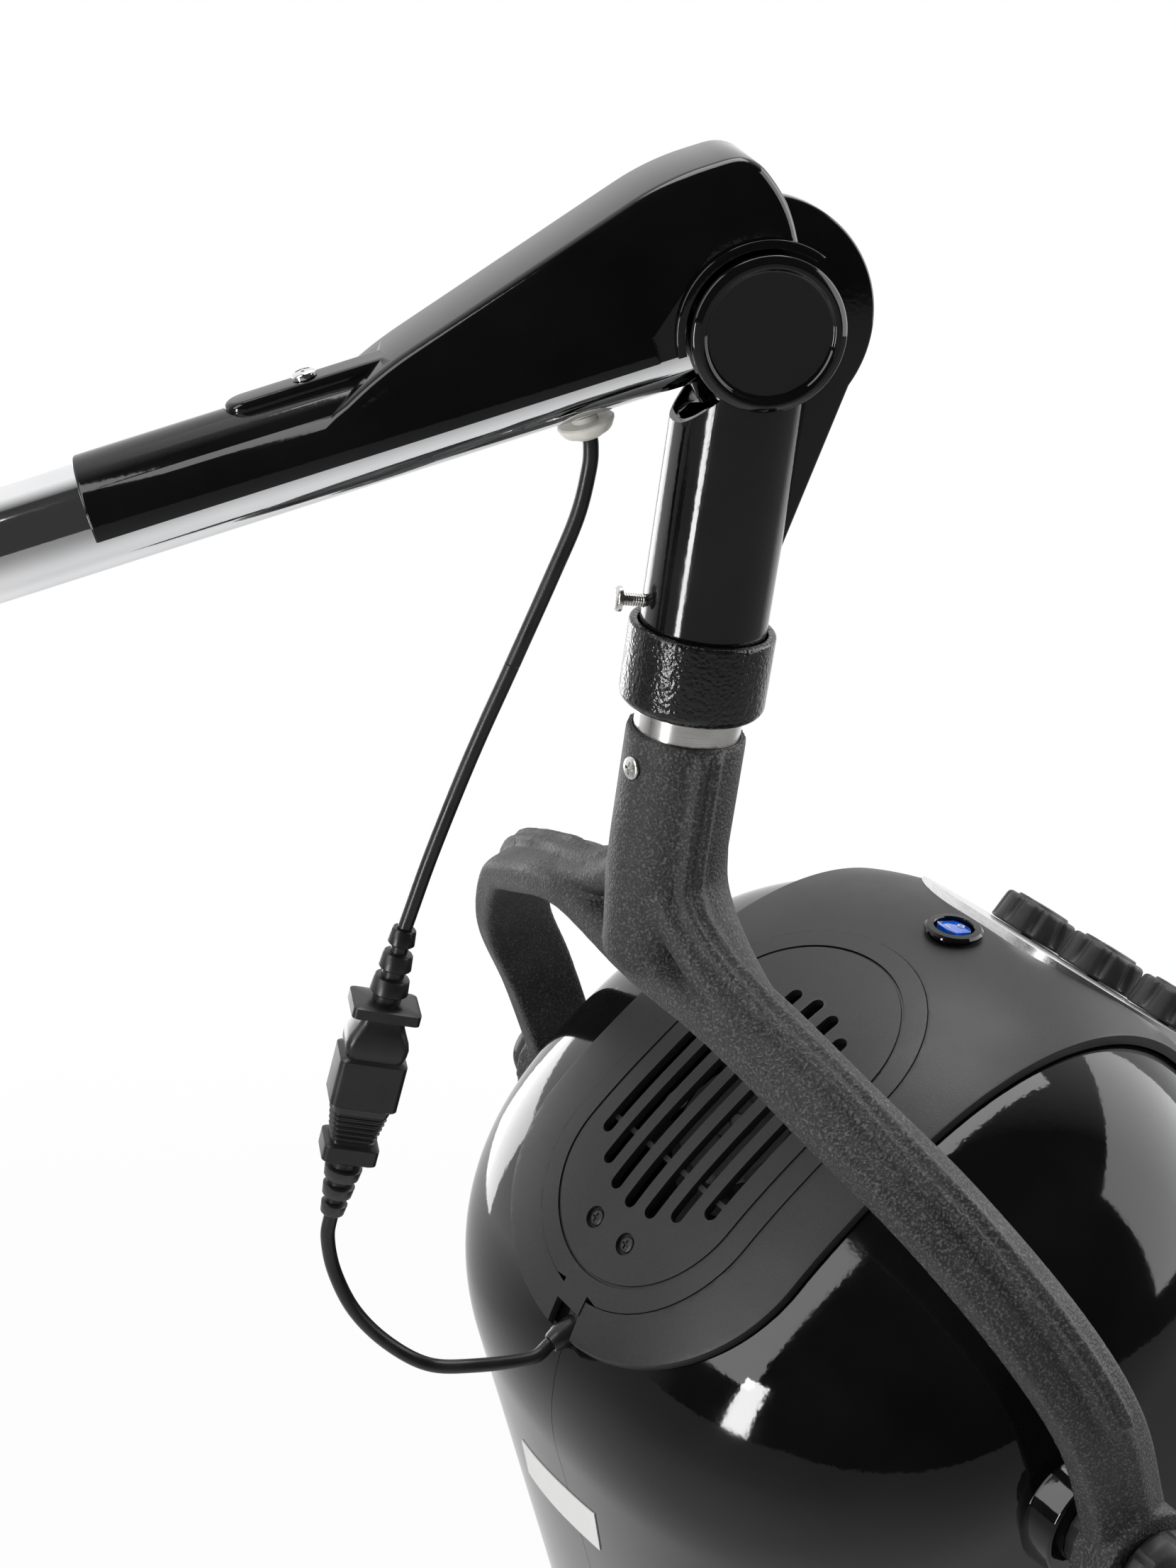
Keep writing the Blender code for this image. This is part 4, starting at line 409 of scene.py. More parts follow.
def studio_world():
    world = bpy.data.worlds.new("studio")
    bpy.context.scene.world = world
    world.use_nodes = True
    w = Wire(world.node_tree)
    camera = w.node("LightPath", out="Is Camera Ray")
    mirror = mirror_ray(w)
    toward = w.node("SeparateXYZ", {}, {0: w.node("TexCoord", out="Generated")}, "Y")
    sweep = span(w, toward, -0.12, 0.42)
    in_gloss = ROOM_DARK + (1 - ROOM_DARK) * sweep
    strength = camera + (1 - camera) * (mirror * in_gloss + (1 - mirror) * ROOM_FILL)
    back = world.node_tree.nodes["Background"]
    back.inputs["Color"].default_value = (1, 1, 1, 1)
    world.node_tree.links.new(strength.socket, back.inputs["Strength"])


bpy.context.scene.view_settings.view_transform = "Standard"
studio_world()
print("studio world: white behind, dark in front")

# %% [markdown]
# The floor keeps the shadow and is as pale as the sweep, and to mirrors it is white only behind the
# object. Point lamps would leave dots on the gloss, so the long highlights come from five soft
# boxes: left, above, right, a narrow strip by the elbow and one low behind.

# %% Floor and soft boxes
FLOOR_HALF = 9.0
FLOOR_AT = (0.7, 0.1, -1.25)
HEART = ELBOW + Vector((0.05, 0, -0.25))


def soft_box(name, at, aim, wide, tall, watts):
    lamp = bpy.data.lights.new(name, "AREA")
    lamp.shape = "RECTANGLE"
    lamp.size = wide
    lamp.size_y = tall
    lamp.energy = watts
    made = bpy.data.objects.new(name, lamp)
    made.location = at
    made.rotation_euler = (Vector(aim) - Vector(at)).to_track_quat("-Z", "Y").to_euler()
    bpy.context.scene.collection.objects.link(made)


def pale_floor():
    bm = bmesh.new()
    bmesh.ops.create_grid(bm, x_segments=8, y_segments=8, size=FLOOR_HALF)
    mesh = bpy.data.meshes.new("floor")
    bm.to_mesh(mesh)
    bm.free()
    made = bpy.data.objects.new("floor", mesh)
    made.location = FLOOR_AT
    bpy.context.scene.collection.objects.link(made)
    look = bpy.data.materials.new("pale_floor")
    look.use_nodes = True
    w = Wire(look.node_tree)
    paper = look.node_tree.nodes["Principled BSDF"]
    tone = tint(w, cloud(w, place(w), 3, 3), (0.90, 0.90, 0.90), (0.93, 0.93, 0.93))
    look.node_tree.links.new(tone.socket, paper.inputs["Base Color"])
    paper.inputs["Roughness"].default_value = 0.8
    away = w.node("VectorMath", {"operation": "LENGTH"}, {0: place(w)}, "Value")
    camera = w.node("LightPath", out="Is Camera Ray")
    behind = w.node("SeparateXYZ", {}, {0: place(w)}, "Y")
    shown = 0.90 + 0.10 * span(w, away, 0.9, 2.2)
    seen = camera * shown + mirror_ray(w) * span(w, behind, 1.1, 2.6)
    glow = w.node("Emission", {}, {"Color": (1, 1, 1, 1), "Strength": 1.0})
    both = w.node("MixShader", {}, {0: seen, 1: Wire(w.tree, paper.outputs[0]), 2: glow})
    look.node_tree.links.new(both.socket, look.node_tree.nodes["Material Output"].inputs["Surface"])
    mesh.materials.append(look)


pale_floor()
soft_box("box_left", (-0.9, -0.5, 0.9), HEART, 0.7, 1.5, 12)
soft_box("box_top", (0.5, 0.35, 1.7), HEART, 1.4, 0.9, 18)
soft_box("box_right", (1.95, 0.0, 0.65), HEART, 1.5, 1.3, 18)
soft_box("strip_left", (-0.34, -0.58, -0.04), (0.616, 0, 0.2), 0.16, 0.42, 4.5)
soft_box("box_rear", (-0.05, 1.6, -0.42), (0.65, 0, -0.2), 0.8, 0.6, 6)
print("floor and 5 soft boxes placed")

# %% [markdown]
# Most pieces are turned on an axis or run through sections, as on a lathe or in a mould. Blender's
# Screw and Skin modifiers could do that, but rings of points joined into a skin leave each point
# where the drawing puts it. Corners are rounded in the outline, before it is spun.

# %% Turned and lofted forms
def to_mesh(bm):
    mesh = bpy.data.meshes.new("mesh")
    bmesh.ops.remove_doubles(bm, verts=bm.verts, dist=2e-6)
    bmesh.ops.recalc_face_normals(bm, faces=bm.faces)
    bm.to_mesh(mesh)
    bm.free()
    return mesh


def loft(rings, closed=False):
    """A skin over rings of points, capped at its ends or closed on itself."""
    bm = bmesh.new()
    rows = [[bm.verts.new(p) for p in one] for one in rings]
    count = len(rows[0])
    pairs = list(zip(rows, rows[1:]))
    if closed:
        pairs.append((rows[-1], rows[0]))
    for a, b in pairs:
        for i in range(count):
            j = (i + 1) % count
            bm.faces.new((a[i], a[j], b[j], b[i]))
    if not closed:
        bm.faces.new(rows[0])
        bm.faces.new(rows[-1])
    return to_mesh(bm)


def eased(points, radius, steps=4, closed=False):
    """A polyline with its corners rounded by short curves."""
    points = [Vector(p) for p in points]
    made = []
    last = len(points) - 1
    for i, p in enumerate(points):
        if not closed and i in (0, last):
            made.append(p)
            continue
        before = points[i - 1] - p
        after = points[(i + 1) % len(points)] - p
        cut = min(radius, 0.45 * before.length, 0.45 * after.length)
        a = p + before.normalized() * cut
        b = p + after.normalized() * cut
        made += [a.lerp(p, t).lerp(p.lerp(b, t), t) for t in (k / steps for k in range(steps + 1))]
    return made


def rounded(corners, radius, steps, closed=True):
    """A flat outline or profile with its corners rounded."""
    return [(p.x, p.y) for p in eased(corners, radius, steps, closed)]


def spun(profile, steps=96, closed=False):
    """A profile of radius and height, spun about Z."""
    rings = []
    for i in range(steps):
        a = 2 * pi * i / steps
        rings.append([Vector((r * cos(a), r * sin(a), z)) for r, z in profile])
    bm = bmesh.new()
    rows = [[bm.verts.new(p) for p in one] for one in rings]
    count = len(profile)
    for a, b in zip(rows, rows[1:] + rows[:1]):
        for k in range(count if closed else count - 1):
            n = (k + 1) % count
            bm.faces.new((a[k], a[n], b[n], b[k]))
    bmesh.ops.remove_doubles(bm, verts=bm.verts, dist=2e-6)
    bmesh.ops.dissolve_degenerate(bm, edges=bm.edges, dist=1e-7)
    return to_mesh(bm)


def rod(radius, length, sides=96):
    half = length / 2
    return spun([(0, half), (radius, half), (radius, -half), (0, -half)], sides)


print("turned and lofted forms ready")

# %% [markdown]
# Flat parts are outlines given thickness. Faces could be extruded, with every hole bridged by hand.
# A filled curve with a bevel does it in one step, holes included, and is then kept as a plain mesh.

# %% Blocks and plates
def block(x, y, z, edge=0.0, steps=3):
    bm = bmesh.new()
    bmesh.ops.create_cube(bm, size=1.0, matrix=Matrix.Diagonal((x, y, z, 1)))
    if edge:
        bmesh.ops.bevel(
            bm, geom=bm.edges[:], offset=edge, segments=steps, affect="EDGES", profile=0.5)
    return to_mesh(bm)


def evaluated(obj):
    """The mesh of an object with its modifiers done; the object is removed."""
    bpy.context.view_layer.update()
    graph = bpy.context.evaluated_depsgraph_get()
    mesh = bpy.data.meshes.new_from_object(obj.evaluated_get(graph))
    bpy.data.objects.remove(obj)
    return mesh


def plate(loops, thickness, edge=0.0, steps=3):
    """A flat plate in XY from closed outlines, holes included, with rounded edges."""
    curve = bpy.data.curves.new("outline", "CURVE")
    curve.dimensions = "2D"
    curve.fill_mode = "BOTH"
    curve.extrude = thickness / 2 - edge
    curve.bevel_depth = edge
    curve.bevel_resolution = steps
    curve.offset = -edge
    for loop in loops:
        spline = curve.splines.new("POLY")
        spline.points.add(len(loop) - 1)
        for point, place_at in zip(spline.points, loop):
            point.co = (place_at[0], place_at[1], 0, 1)
        spline.use_cyclic_u = True
    obj = bpy.data.objects.new("outline", curve)
    bpy.context.scene.collection.objects.link(obj)
    mesh = evaluated(obj)
    bm = bmesh.new()
    bm.from_mesh(mesh)
    return to_mesh(bm)


print("blocks and plates ready")

# %% [markdown]
# Holes, slots and joins are exact booleans, and small edges are broken with a bevel. Both could
# stay on the object as modifiers, but later steps cut and join the results again, so each result is
# taken at once as a plain mesh.

# %% Cuts and bevels
def moved(mesh, *turns):
    for turn in turns:
        mesh.transform(turn)
    return mesh


def shift(x, y, z):
    return Matrix.Translation((x, y, z))


def solid_with(mesh, others, how="DIFFERENCE"):
    """A mesh cut by, joined to or kept inside other meshes."""
    obj = bpy.data.objects.new("work", mesh)
    bpy.context.scene.collection.objects.link(obj)
    helpers = []
    for other in others:
        helper = bpy.data.objects.new("helper", other)
        bpy.context.scene.collection.objects.link(helper)
        step = obj.modifiers.new("step", "BOOLEAN")
        step.operation = how
        step.solver = "EXACT"
        step.object = helper
        helpers.append(helper)
    made = evaluated(obj)
    for helper in helpers:
        bpy.data.objects.remove(helper)
    return made


def softened(mesh, width, steps=2, angle=32):
    """A mesh with its hard edges bevelled."""
    obj = bpy.data.objects.new("work", mesh)
    bpy.context.scene.collection.objects.link(obj)
    step = obj.modifiers.new("edges", "BEVEL")
    step.width = width
    step.segments = steps
    step.limit_method = "ANGLE"
    step.angle_limit = radians(angle)
    step.use_clamp_overlap = True
    return evaluated(obj)


print("cuts and bevels ready")

# %% [markdown]
# A piece is more than its mesh: it has a finish, it rides on a body that a joint moves, and it
# stands for a solid of the frame. These could be set piece by piece. One function says them all, so
# that no piece is left behind when the arm moves.

# %% Pieces on bodies
def piece(name, mesh, where, look, body, stands_for=(), sharp=32):
    """A finished piece: placed, coloured, riding on a body and standing for solids."""
    mesh.transform(where)
    mesh.materials.clear()
    mesh.materials.append(LOOKS[look])
    mesh.shade_smooth()
    mesh.set_sharp_from_angle(angle=radians(sharp))
    obj = bpy.data.objects.new(name, mesh)
    bpy.context.scene.collection.objects.link(obj)
    if body:
        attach(obj, body)
    if stands_for:
        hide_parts(*stands_for)
    return obj


# %% [markdown]
# Profiles stand along Z, so a few fixed turns lay them along the arm or the axle. Curved outlines
# and leads could be drawn with Bezier handles, but a spline through plain points is easier to
# measure, and it passes through each of them.

# %% Directions, arcs and paths
def along(direction):
    return Vector((0, 0, 1)).rotation_difference(Vector(direction)).to_matrix().to_4x4()


ALONG_X = along((1, 0, 0))
ALONG_Y = Matrix.Rotation(-pi / 2, 4, "X")
UPRIGHT = Matrix.Rotation(pi / 2, 4, "X")


def arc(x, y, radius, start, end, steps):
    sweep = (radians(start + (end - start) * i / steps) for i in range(steps + 1))
    return [(x + radius * cos(a), y + radius * sin(a)) for a in sweep]


def circle(x, y, radius, steps=48):
    return arc(x, y, radius, 0, 360, steps)[:-1]


def smooth_path(points, each):
    """Points on a smooth curve through the given ones, `each` to a stretch."""
    points = [Vector(p) for p in points]
    ends = [2 * points[0] - points[1], *points, 2 * points[-1] - points[-2]]
    made = []
    for a, b, c, d in zip(ends, ends[1:], ends[2:], ends[3:]):
        for i in range(each):
            t = i / each
            made.append(0.5 * (2 * b + (c - a) * t + (2 * a - 5 * b + 4 * c - d) * t ** 2
                               + (3 * b - a - 3 * c + d) * t ** 3))
    return [*made, points[-1]]


print("directions, arcs and paths ready")

# %% [markdown]
# The lead leaves the arm through a bush, hangs to an inline coupler and loops up into the back of
# the hood. A curve with a bevel would do for a still, but these stretches bend across joints, so
# each is a mesh tube. The lead is cut where it follows another joint.

# %% Lead
CORD_R = 3.05 * MM
ROUTES = {
    "cord_upper_a": [
        (-57.2, 0, -44.6), (-55.3, 0, -49.1), (-53.9, 0, -54), (-53.4, 0, -63), (-55.5, 0, -82),
        (-62.5, -0.5, -107), (-73, -1, -142)],
    "cord_upper_b": [
        (-73.13, -1, -142.45), (-84.5, -1.5, -180), (-95.5, -2, -222), (-103, -2.5, -256)],
    "cord_lower": [
        (-120, -4, -389), (-120.5, -4, -401), (-116, -4.5, -418), (-106, -6.5, -436),
        (-91, -9.5, -450), (-73, -13, -458.5), (-54, -15.5, -457.5), (-28.6, -12.5, -455.9),
        (-19.6, -8.5, -451.1)],
}


def hose(points, radius, sides=20):
    """A round tube along points, its rings carried on without twist."""
    rings = []
    ahead = (points[1] - points[0]).normalized()
    side = ahead.orthogonal().normalized()
    for i, at in enumerate(points):
        onward = (points[min(i + 1, len(points) - 1)] - points[max(i - 1, 0)]).normalized()
        side = ahead.rotation_difference(onward) @ side
        side = (side - onward * side.dot(onward)).normalized()
        ahead = onward
        up = onward.cross(side)
        turns = (2 * pi * k / sides for k in range(sides))
        rings.append([at + radius * (side * cos(a) + up * sin(a)) for a in turns])
    return loft(rings)


def route(name, each=8):
    return [DROP @ (p * MM) for p in smooth_path(ROUTES[name], each)]


def lead(name):
    path = route(name)
    made = piece(name + "_lead", hose(path, CORD_R), Matrix.Identity(4), "cord_black", None, (name,))
    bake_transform(made)
    long = sum((b - a).length for a, b in zip(path, path[1:]))
    print(f"{name}: {1000 * long:.0f} mm")
    return made, path, long


LEAD_A, PATH_A, LONG_A = lead("cord_upper_a")
LEAD_B, PATH_B, LONG_B = lead("cord_upper_b")
LEAD_C, PATH_C, LONG_C = lead("cord_lower")

# %% [markdown]
# The inline connector joins the lead in two halves, with a ribbed relief at each end. It could be
# cut from a block, but it swells and narrows all the way, from round at the reliefs to an oblong in
# the middle. So it is lofted through many stations, and each rib or groove is a few stations more.

# %% Connector sections
CABLE_TOP = Vector(ROUTES["cord_upper_b"][-1]) * MM
CABLE_FOOT = Vector(ROUTES["cord_lower"][0]) * MM
PLUG_LONG = (CABLE_FOOT - CABLE_TOP).length


def coupler_frame():
    axis = (CABLE_FOOT - CABLE_TOP).normalized()
    wide = Vector((0, 1, 0)).cross(axis).normalized()
    deep = axis.cross(wide)
    turn = Matrix((wide, deep, axis)).transposed().to_4x4()
    return DROP @ Matrix.Translation(CABLE_TOP) @ turn


def oblong(wide, deep, corner, steps=5):
    x = wide - corner
    y = deep - corner
    return (arc(x, y, corner, 0, 90, steps) + arc(-x, y, corner, 90, 180, steps)
            + arc(-x, -y, corner, 180, 270, steps) + arc(x, -y, corner, 270, 360, steps))


def lofted(stations):
    rings = []
    for z, wide, deep, corner in stations:
        rings.append([Vector((x * MM, y * MM, z * MM)) for x, y in oblong(wide, deep, corner)])
    return loft(rings)


def ribbed(start, end, first, grow):
    """Stations of a strain relief whose ribs thicken away from its tip."""
    step = (end - start) / 3
    made = []
    for i in range(3):
        z = start + step * i
        r = first + grow * i
        made += [(z, r - 0.5, r - 0.5, r - 0.6), (z + 0.06 * step, r, r, r - 0.1)]
        made += [(z + 0.58 * step, r + 0.6, r + 0.6, r + 0.5), (z + 0.64 * step, r, r, r - 0.1)]
        for share in (0.66, 0.97):
            made.append((z + share * step, r - 1.5, r - 1.5, r - 1.6))
    return made


def connector(name, stations):
    body = lofted(stations)
    where = coupler_frame()
    return piece(name + "_moulded", body, where, "cord_black", "fork_body", (name,), sharp=36)


print(f"room for the connector: {PLUG_LONG / MM:.0f} mm")

# %% [markdown]
# The stations run from the top of the socket to the foot of the plug, in millimetres: height, half
# width, half depth and corner. A formula could give them, but each swelling was shaped for fingers,
# and a list reads better.

# %% Inline connector
RELIEF_TIP = 0.3
RELIEF_R = 5
RELIEF_GROW = 1.2
GRIP_COUNT = 6
WHOLE = PLUG_LONG / MM
SPLIT = 0.59 * PLUG_LONG / MM
START = SPLIT + 0.3
SOCKET = ribbed(RELIEF_TIP, 33, RELIEF_R, RELIEF_GROW) + [
    (33.2, 12.6, 9.2, 2.0), (33.8, 14, 10.5, 2.6), (38.2, 14, 10.5, 2.6), (38.8, 12.6, 9.2, 2.0),
    (39.2, 9, 8, 4), (41.5, 9.2, 8.2, 4), (44, 10.2, 8.8, 4), (48, 12.2, 9.4, 4), (51, 13, 9.5, 4),
    (54, 12.8, 9.4, 4), (56.8, 12, 9, 4), (57.2, 12.4, 9.4, 3.4), (58.2, 14, 10.5, 3.4),
    (SPLIT - 0.6, 14, 10.5, 3.4), (SPLIT, 13.4, 9.9, 3)]
TAIL = ribbed(RELIEF_TIP, WHOLE - START - 28, RELIEF_R, RELIEF_GROW)
PLUG_TAIL = [(WHOLE - z, w, d, c) for z, w, d, c in reversed(TAIL)]
GRIPS = []
for k in range(GRIP_COUNT):
    z = START + 3 + 2.4 * k
    w = 12 - 0.17 * (z - START)
    d = w * 0.79
    GRIPS += [(z, w, d, 3.6), (z + 0.5, w - 0.6, d - 0.6, 3.2)]
    GRIPS += [(z + 1.2, w - 0.6, d - 0.6, 3.2), (z + 1.7, w, d, 3.6)]
PLUG = [(START, 12, 9.5, 3), *GRIPS, (START + 18, 9, 8, 4), (START + 18.3, 10.6, 8.8, 3),
        (START + 18.9, 11.5, 9.5, 3), (START + 25.6, 11.5, 9.5, 3), (START + 26.2, 10.6, 8.8, 3),
        (START + 26.6, 7.5, 7, 5)] + PLUG_TAIL
SOCKET_HALF = connector("connector_socket", SOCKET)
PLUG_HALF = connector("connector_plug", PLUG)
print(f"socket of {len(SOCKET)} stations, plug of {len(PLUG)}")

# %% [markdown]
# The arm is a drawn and chromed tube. Its mouth is cut round the elbow's barrel, slit for the lever
# plate and bored for the lead. A ready-made cylinder has no wall, so the tube's wall is drawn as a
# ring and spun.

# %% Arm tube
FIT = 0.3 * MM
ARM_LENGTH = 600 * MM
ARM_R = 20.15 * MM
ARM_WALL = 2 * MM
ARM_OFFSET = 3.8 * MM
GROMMET_U = -70 * MM
GROMMET_R = 5 * MM
ROOT_R = 25.5 * MM
BARREL_R = 27.5 * MM
BARREL_HALF = 25 * MM
LEVER_R = 46 * MM
LEVER_THICK = 8 * MM


def ring(inner, outer, low, high):
    return [(inner, high), (outer, high), (outer, low), (inner, low)]


def arm_tube():
    start = -ARM_LENGTH + ROOT_R + 6 * MM
    tube = spun(ring(ARM_R - ARM_WALL, ARM_R, start, 0), 128, True)
    tube = moved(tube, ALONG_X, shift(0, 0, ARM_OFFSET))
    slit = LEVER_R + 6 * MM
    cuts = [
        moved(rod(BARREL_R + 1.7 * MM, 150 * MM), ALONG_Y),
        moved(block(slit, LEVER_THICK + 2 * MM, 120 * MM), shift(-slit / 2, 0, 0)),
        moved(rod(GROMMET_R + FIT, 40 * MM, 48), shift(GROMMET_U, 0, ARM_OFFSET - ARM_R)),
    ]
    return piece("arm_tube_chrome", solid_with(tube, cuts), ARM, "chrome", "arm_body", ("arm_tube",))


print("arm tube:", len(arm_tube().data.polygons), "faces")

# %% [markdown]
# The elbow's cover is one glossy moulding: a peaked box with flat cheeks, sunk into a sleeve that
# saddles the tube, with a rib for its screw and a lip round the barrel. Subdivision would round the
# flat cheeks, so an outline is given thickness and rounded rims, and exact booleans do the rest.

# %% Elbow cover
COVER_HALF = 21.5 * MM
COVER_WALL = 2.4 * MM
COVER_PEAK = 66 * MM
COVER_NOSE_U = 20 * MM
COVER_TOE_U = -176 * MM
SLEEVE_END_U = -253 * MM
LIP_R = BARREL_R + 6.2 * MM
LIP_TALL = 3.5 * MM
COVER_SCREW_U = -164 * MM
COVER_HOLE_R = 2.5 * MM
COVER_ROUND = 4.6 * MM
SLEEVE_R = ARM_R + FIT + COVER_WALL


def cover_side(grow=0.0):
    toe = COVER_TOE_U
    nose = COVER_NOSE_U
    foot = -16 * MM
    roof = COVER_PEAK - 2.6 * MM + grow
    corners = [
        (toe - 2 * grow, foot), (toe - 2 * grow, 9 * MM + grow), (toe + 36 * MM, 28 * MM + grow),
        (-21 * MM, roof), (nose - 9 * MM + grow, roof), (nose + grow, COVER_PEAK - 24 * MM),
        (nose + grow, foot)]
    return rounded(corners, 15 * MM, 8)


def cushioned(outline, thickness, edge, steps=6):
    """A thick plate with rounded rims; its rings are the outline moved inwards."""
    points = [Vector(p) for p in outline]
    count = len(points)
    turn = sum(a.cross(b) for a, b in zip(points, points[1:] + points[:1]))
    inward = []
    for i in range(count):
        run = (points[(i + 1) % count] - points[i - 1]).normalized()
        inward.append(Vector((-run.y, run.x)) * copysign(1, turn))
    rings = []
    for side, order in ((-1, range(steps + 1)), (1, range(steps, -1, -1))):
        for k in order:
            a = pi / 2 * k / steps
            inset = edge * (1 - sin(a))
            high = side * (thickness / 2 - edge * (1 - cos(a)))
            rings.append([(*(p + n * inset), high) for p, n in zip(points, inward)])
    return loft(rings)


def circle_bar(length, width, steps=24):
    """A bar with round ends, in plan."""
    half = length / 2 - width / 2
    return arc(half, 0, width / 2, -90, 90, steps) + arc(-half, 0, width / 2, 90, 270, steps)


def elbow_cover():
    body = moved(cushioned(cover_side(), 2 * COVER_HALF, COVER_ROUND), UPRIGHT)
    end = -40 * MM - SLEEVE_END_U
    sleeve = spun(eased([(0, 0), (SLEEVE_R, 0), (SLEEVE_R, end), (0, end)], 1.2 * MM, 4), 128)
    sleeve = moved(sleeve, ALONG_X, shift(SLEEVE_END_U, 0, ARM_OFFSET))
    rib = moved(plate([circle_bar(74 * MM, 15 * MM)], 10 * MM, 2.4 * MM, 4),
                shift(-158 * MM, 0, ARM_OFFSET + SLEEVE_R - 2.5 * MM))
    lip = eased([(0, LIP_TALL), (LIP_R, LIP_TALL), (LIP_R, 0), (0, 0)], 1.1 * MM, 4)
    added = [sleeve, rib]
    for side, turn in ((-1, UPRIGHT), (1, ALONG_Y)):
        added.append(moved(spun(lip, 128), turn, shift(0, side * (COVER_HALF - 1 * MM), 0)))
    body = solid_with(body, added, "UNION")
    inner = moved(plate([cover_side(-COVER_WALL)], 2 * (COVER_HALF - COVER_WALL)), UPRIGHT)
    lean = Matrix.Rotation(radians(-8), 4, "Y")
    cuts = [
        moved(block(600 * MM, 130 * MM, 80 * MM), shift(-200 * MM, 0, -39.4 * MM)),
        moved(block(60 * MM, 130 * MM, 80 * MM), lean, shift(37 * MM, 0, -19 * MM)),
        moved(rod(ARM_R + FIT, 500 * MM, 100), ALONG_X, shift(-200 * MM, 0, ARM_OFFSET)),
        inner,
        moved(rod(BARREL_R + 3 * MM, 200 * MM, 100), ALONG_Y),
        moved(block(60 * MM, LEVER_THICK + 3 * MM, 2 * LEVER_R + 4 * MM), shift(34 * MM, 0, 0)),
        moved(rod(COVER_HOLE_R, 40 * MM, 32), shift(COVER_SCREW_U, 0, 30 * MM)),
    ]
    body = solid_with(body, cuts)
    return piece("elbow_cover_gloss", body, ARM, "gloss_black", "arm_body", ("elbow_cover",), sharp=40)


print("elbow cover:", len(elbow_cover().data.polygons), "faces")

# %% [markdown]
# Below the elbow a tube hangs from two half barrels, with a round lever plate between them and a
# mouth cut on a slant to let the arm dip. Three objects pushed together would show their seams, and
# the real one was welded and enamelled as one. So it is joined into one mesh, and its edges are
# broken last.

# %% Down tube
TUBE_R = 25 * MM
TUBE_WALL = 2 * MM
COLLAR_TOP = -121 * MM
COLLAR_BOTTOM = -155 * MM
STUB_R = 21.4 * MM
CHEEK = 5 * MM
PLAY = 0.6 * MM
SET_SCREW_Z = -113 * MM
SET_SCREW_HOLE_R = 2.8 * MM
AXLE_HOLE_R = 6.3 * MM
HOOK_HOLE_R = 2.6 * MM


def lever_outline():
    foot = -92 * MM
    heel = (-BARREL_R * 0.93, -BARREL_R * 0.57)
    return [
        (TUBE_R - 1 * MM, foot), *arc(0, 0, LEVER_R, -28, 150, 72), heel, (-2 * MM, -58 * MM),
        (TUBE_R - 6 * MM, foot)]


def down_tube():
    low = COLLAR_BOTTOM + 4 * MM
    high = -8 * MM
    body = moved(rod(TUBE_R, high - low, 128), shift(0, 0, (low + high) / 2))
    mouth = [
        (-55 * MM, -42 * MM), (-TUBE_R, -42 * MM), (-11 * MM, -25 * MM), (-11 * MM, 20 * MM),
        (-55 * MM, 20 * MM)]
    mouth = plate([rounded(mouth, 5 * MM, 6)], 4 * TUBE_R)
    body = solid_with(body, [moved(mouth, UPRIGHT)])
    cheek_out = LEVER_THICK / 2 + PLAY + CHEEK + PLAY
    long = BARREL_HALF - cheek_out
    barrels = []
    for side in (-1, 1):
        at = shift(0, side * (cheek_out + long / 2), 0)
        barrels.append(moved(rod(BARREL_R, long, 128), ALONG_Y, at))
    body = solid_with(body, barrels, "UNION")
    bore = moved(rod(TUBE_R - TUBE_WALL, 150 * MM, 128), shift(0, 0, -BARREL_R - 75 * MM))
    body = solid_with(body, [bore])
    slot = LEVER_THICK + 2 * (CHEEK + 2 * PLAY) - 0.1 * MM
    body = solid_with(body, [moved(block(81 * MM, slot, 84 * MM), shift(-20 * MM, 0, 12 * MM))])
    lever = moved(plate([lever_outline()], LEVER_THICK, 1.3 * MM, 3), UPRIGHT)
    body = solid_with(body, [lever], "UNION")
    cuts = [moved(rod(STUB_R + 1.4 * MM, 120 * MM, 100), shift(0, 0, -118 * MM))]
    for side in (-1, 1):
        cuts.append(moved(rod(BARREL_R - 6 * MM, 16 * MM, 64), ALONG_Y, shift(0, side * BARREL_HALF, 0)))
    cuts.append(moved(rod(AXLE_HOLE_R, 150 * MM, 48), ALONG_Y))
    cuts.append(moved(rod(SET_SCREW_HOLE_R, 50 * MM, 32), ALONG_X, shift(-TUBE_R, 0, SET_SCREW_Z)))
    cuts.append(moved(rod(HOOK_HOLE_R, 30 * MM, 24), ALONG_Y, shift(-6 * MM, 0, 36 * MM)))
    body = softened(solid_with(body, cuts), 0.6 * MM, 2, 34)
    return piece("down_tube_enamel", body, DROP, "black_enamel", "drop_body", ("down_tube",), sharp=40)


print("down tube:", len(down_tube().data.polygons), "faces")

# %% [markdown]
# The caps that close the barrel have a raised rim round a flat, faintly dished face, and the collar
# and the stub below are turned as well. A bevel would give every edge the same round. The bright
# rim in the photograph is a broad one, so each profile has its corners rounded and is then spun.

# %% Barrel caps, collar and stub
CAP_R = 29 * MM
CAP_PLUG_R = BARREL_R - 6.3 * MM
COLLAR_R = 29 * MM
NECK_TOP = -165 * MM
NECK_DEPTH = 50 * MM


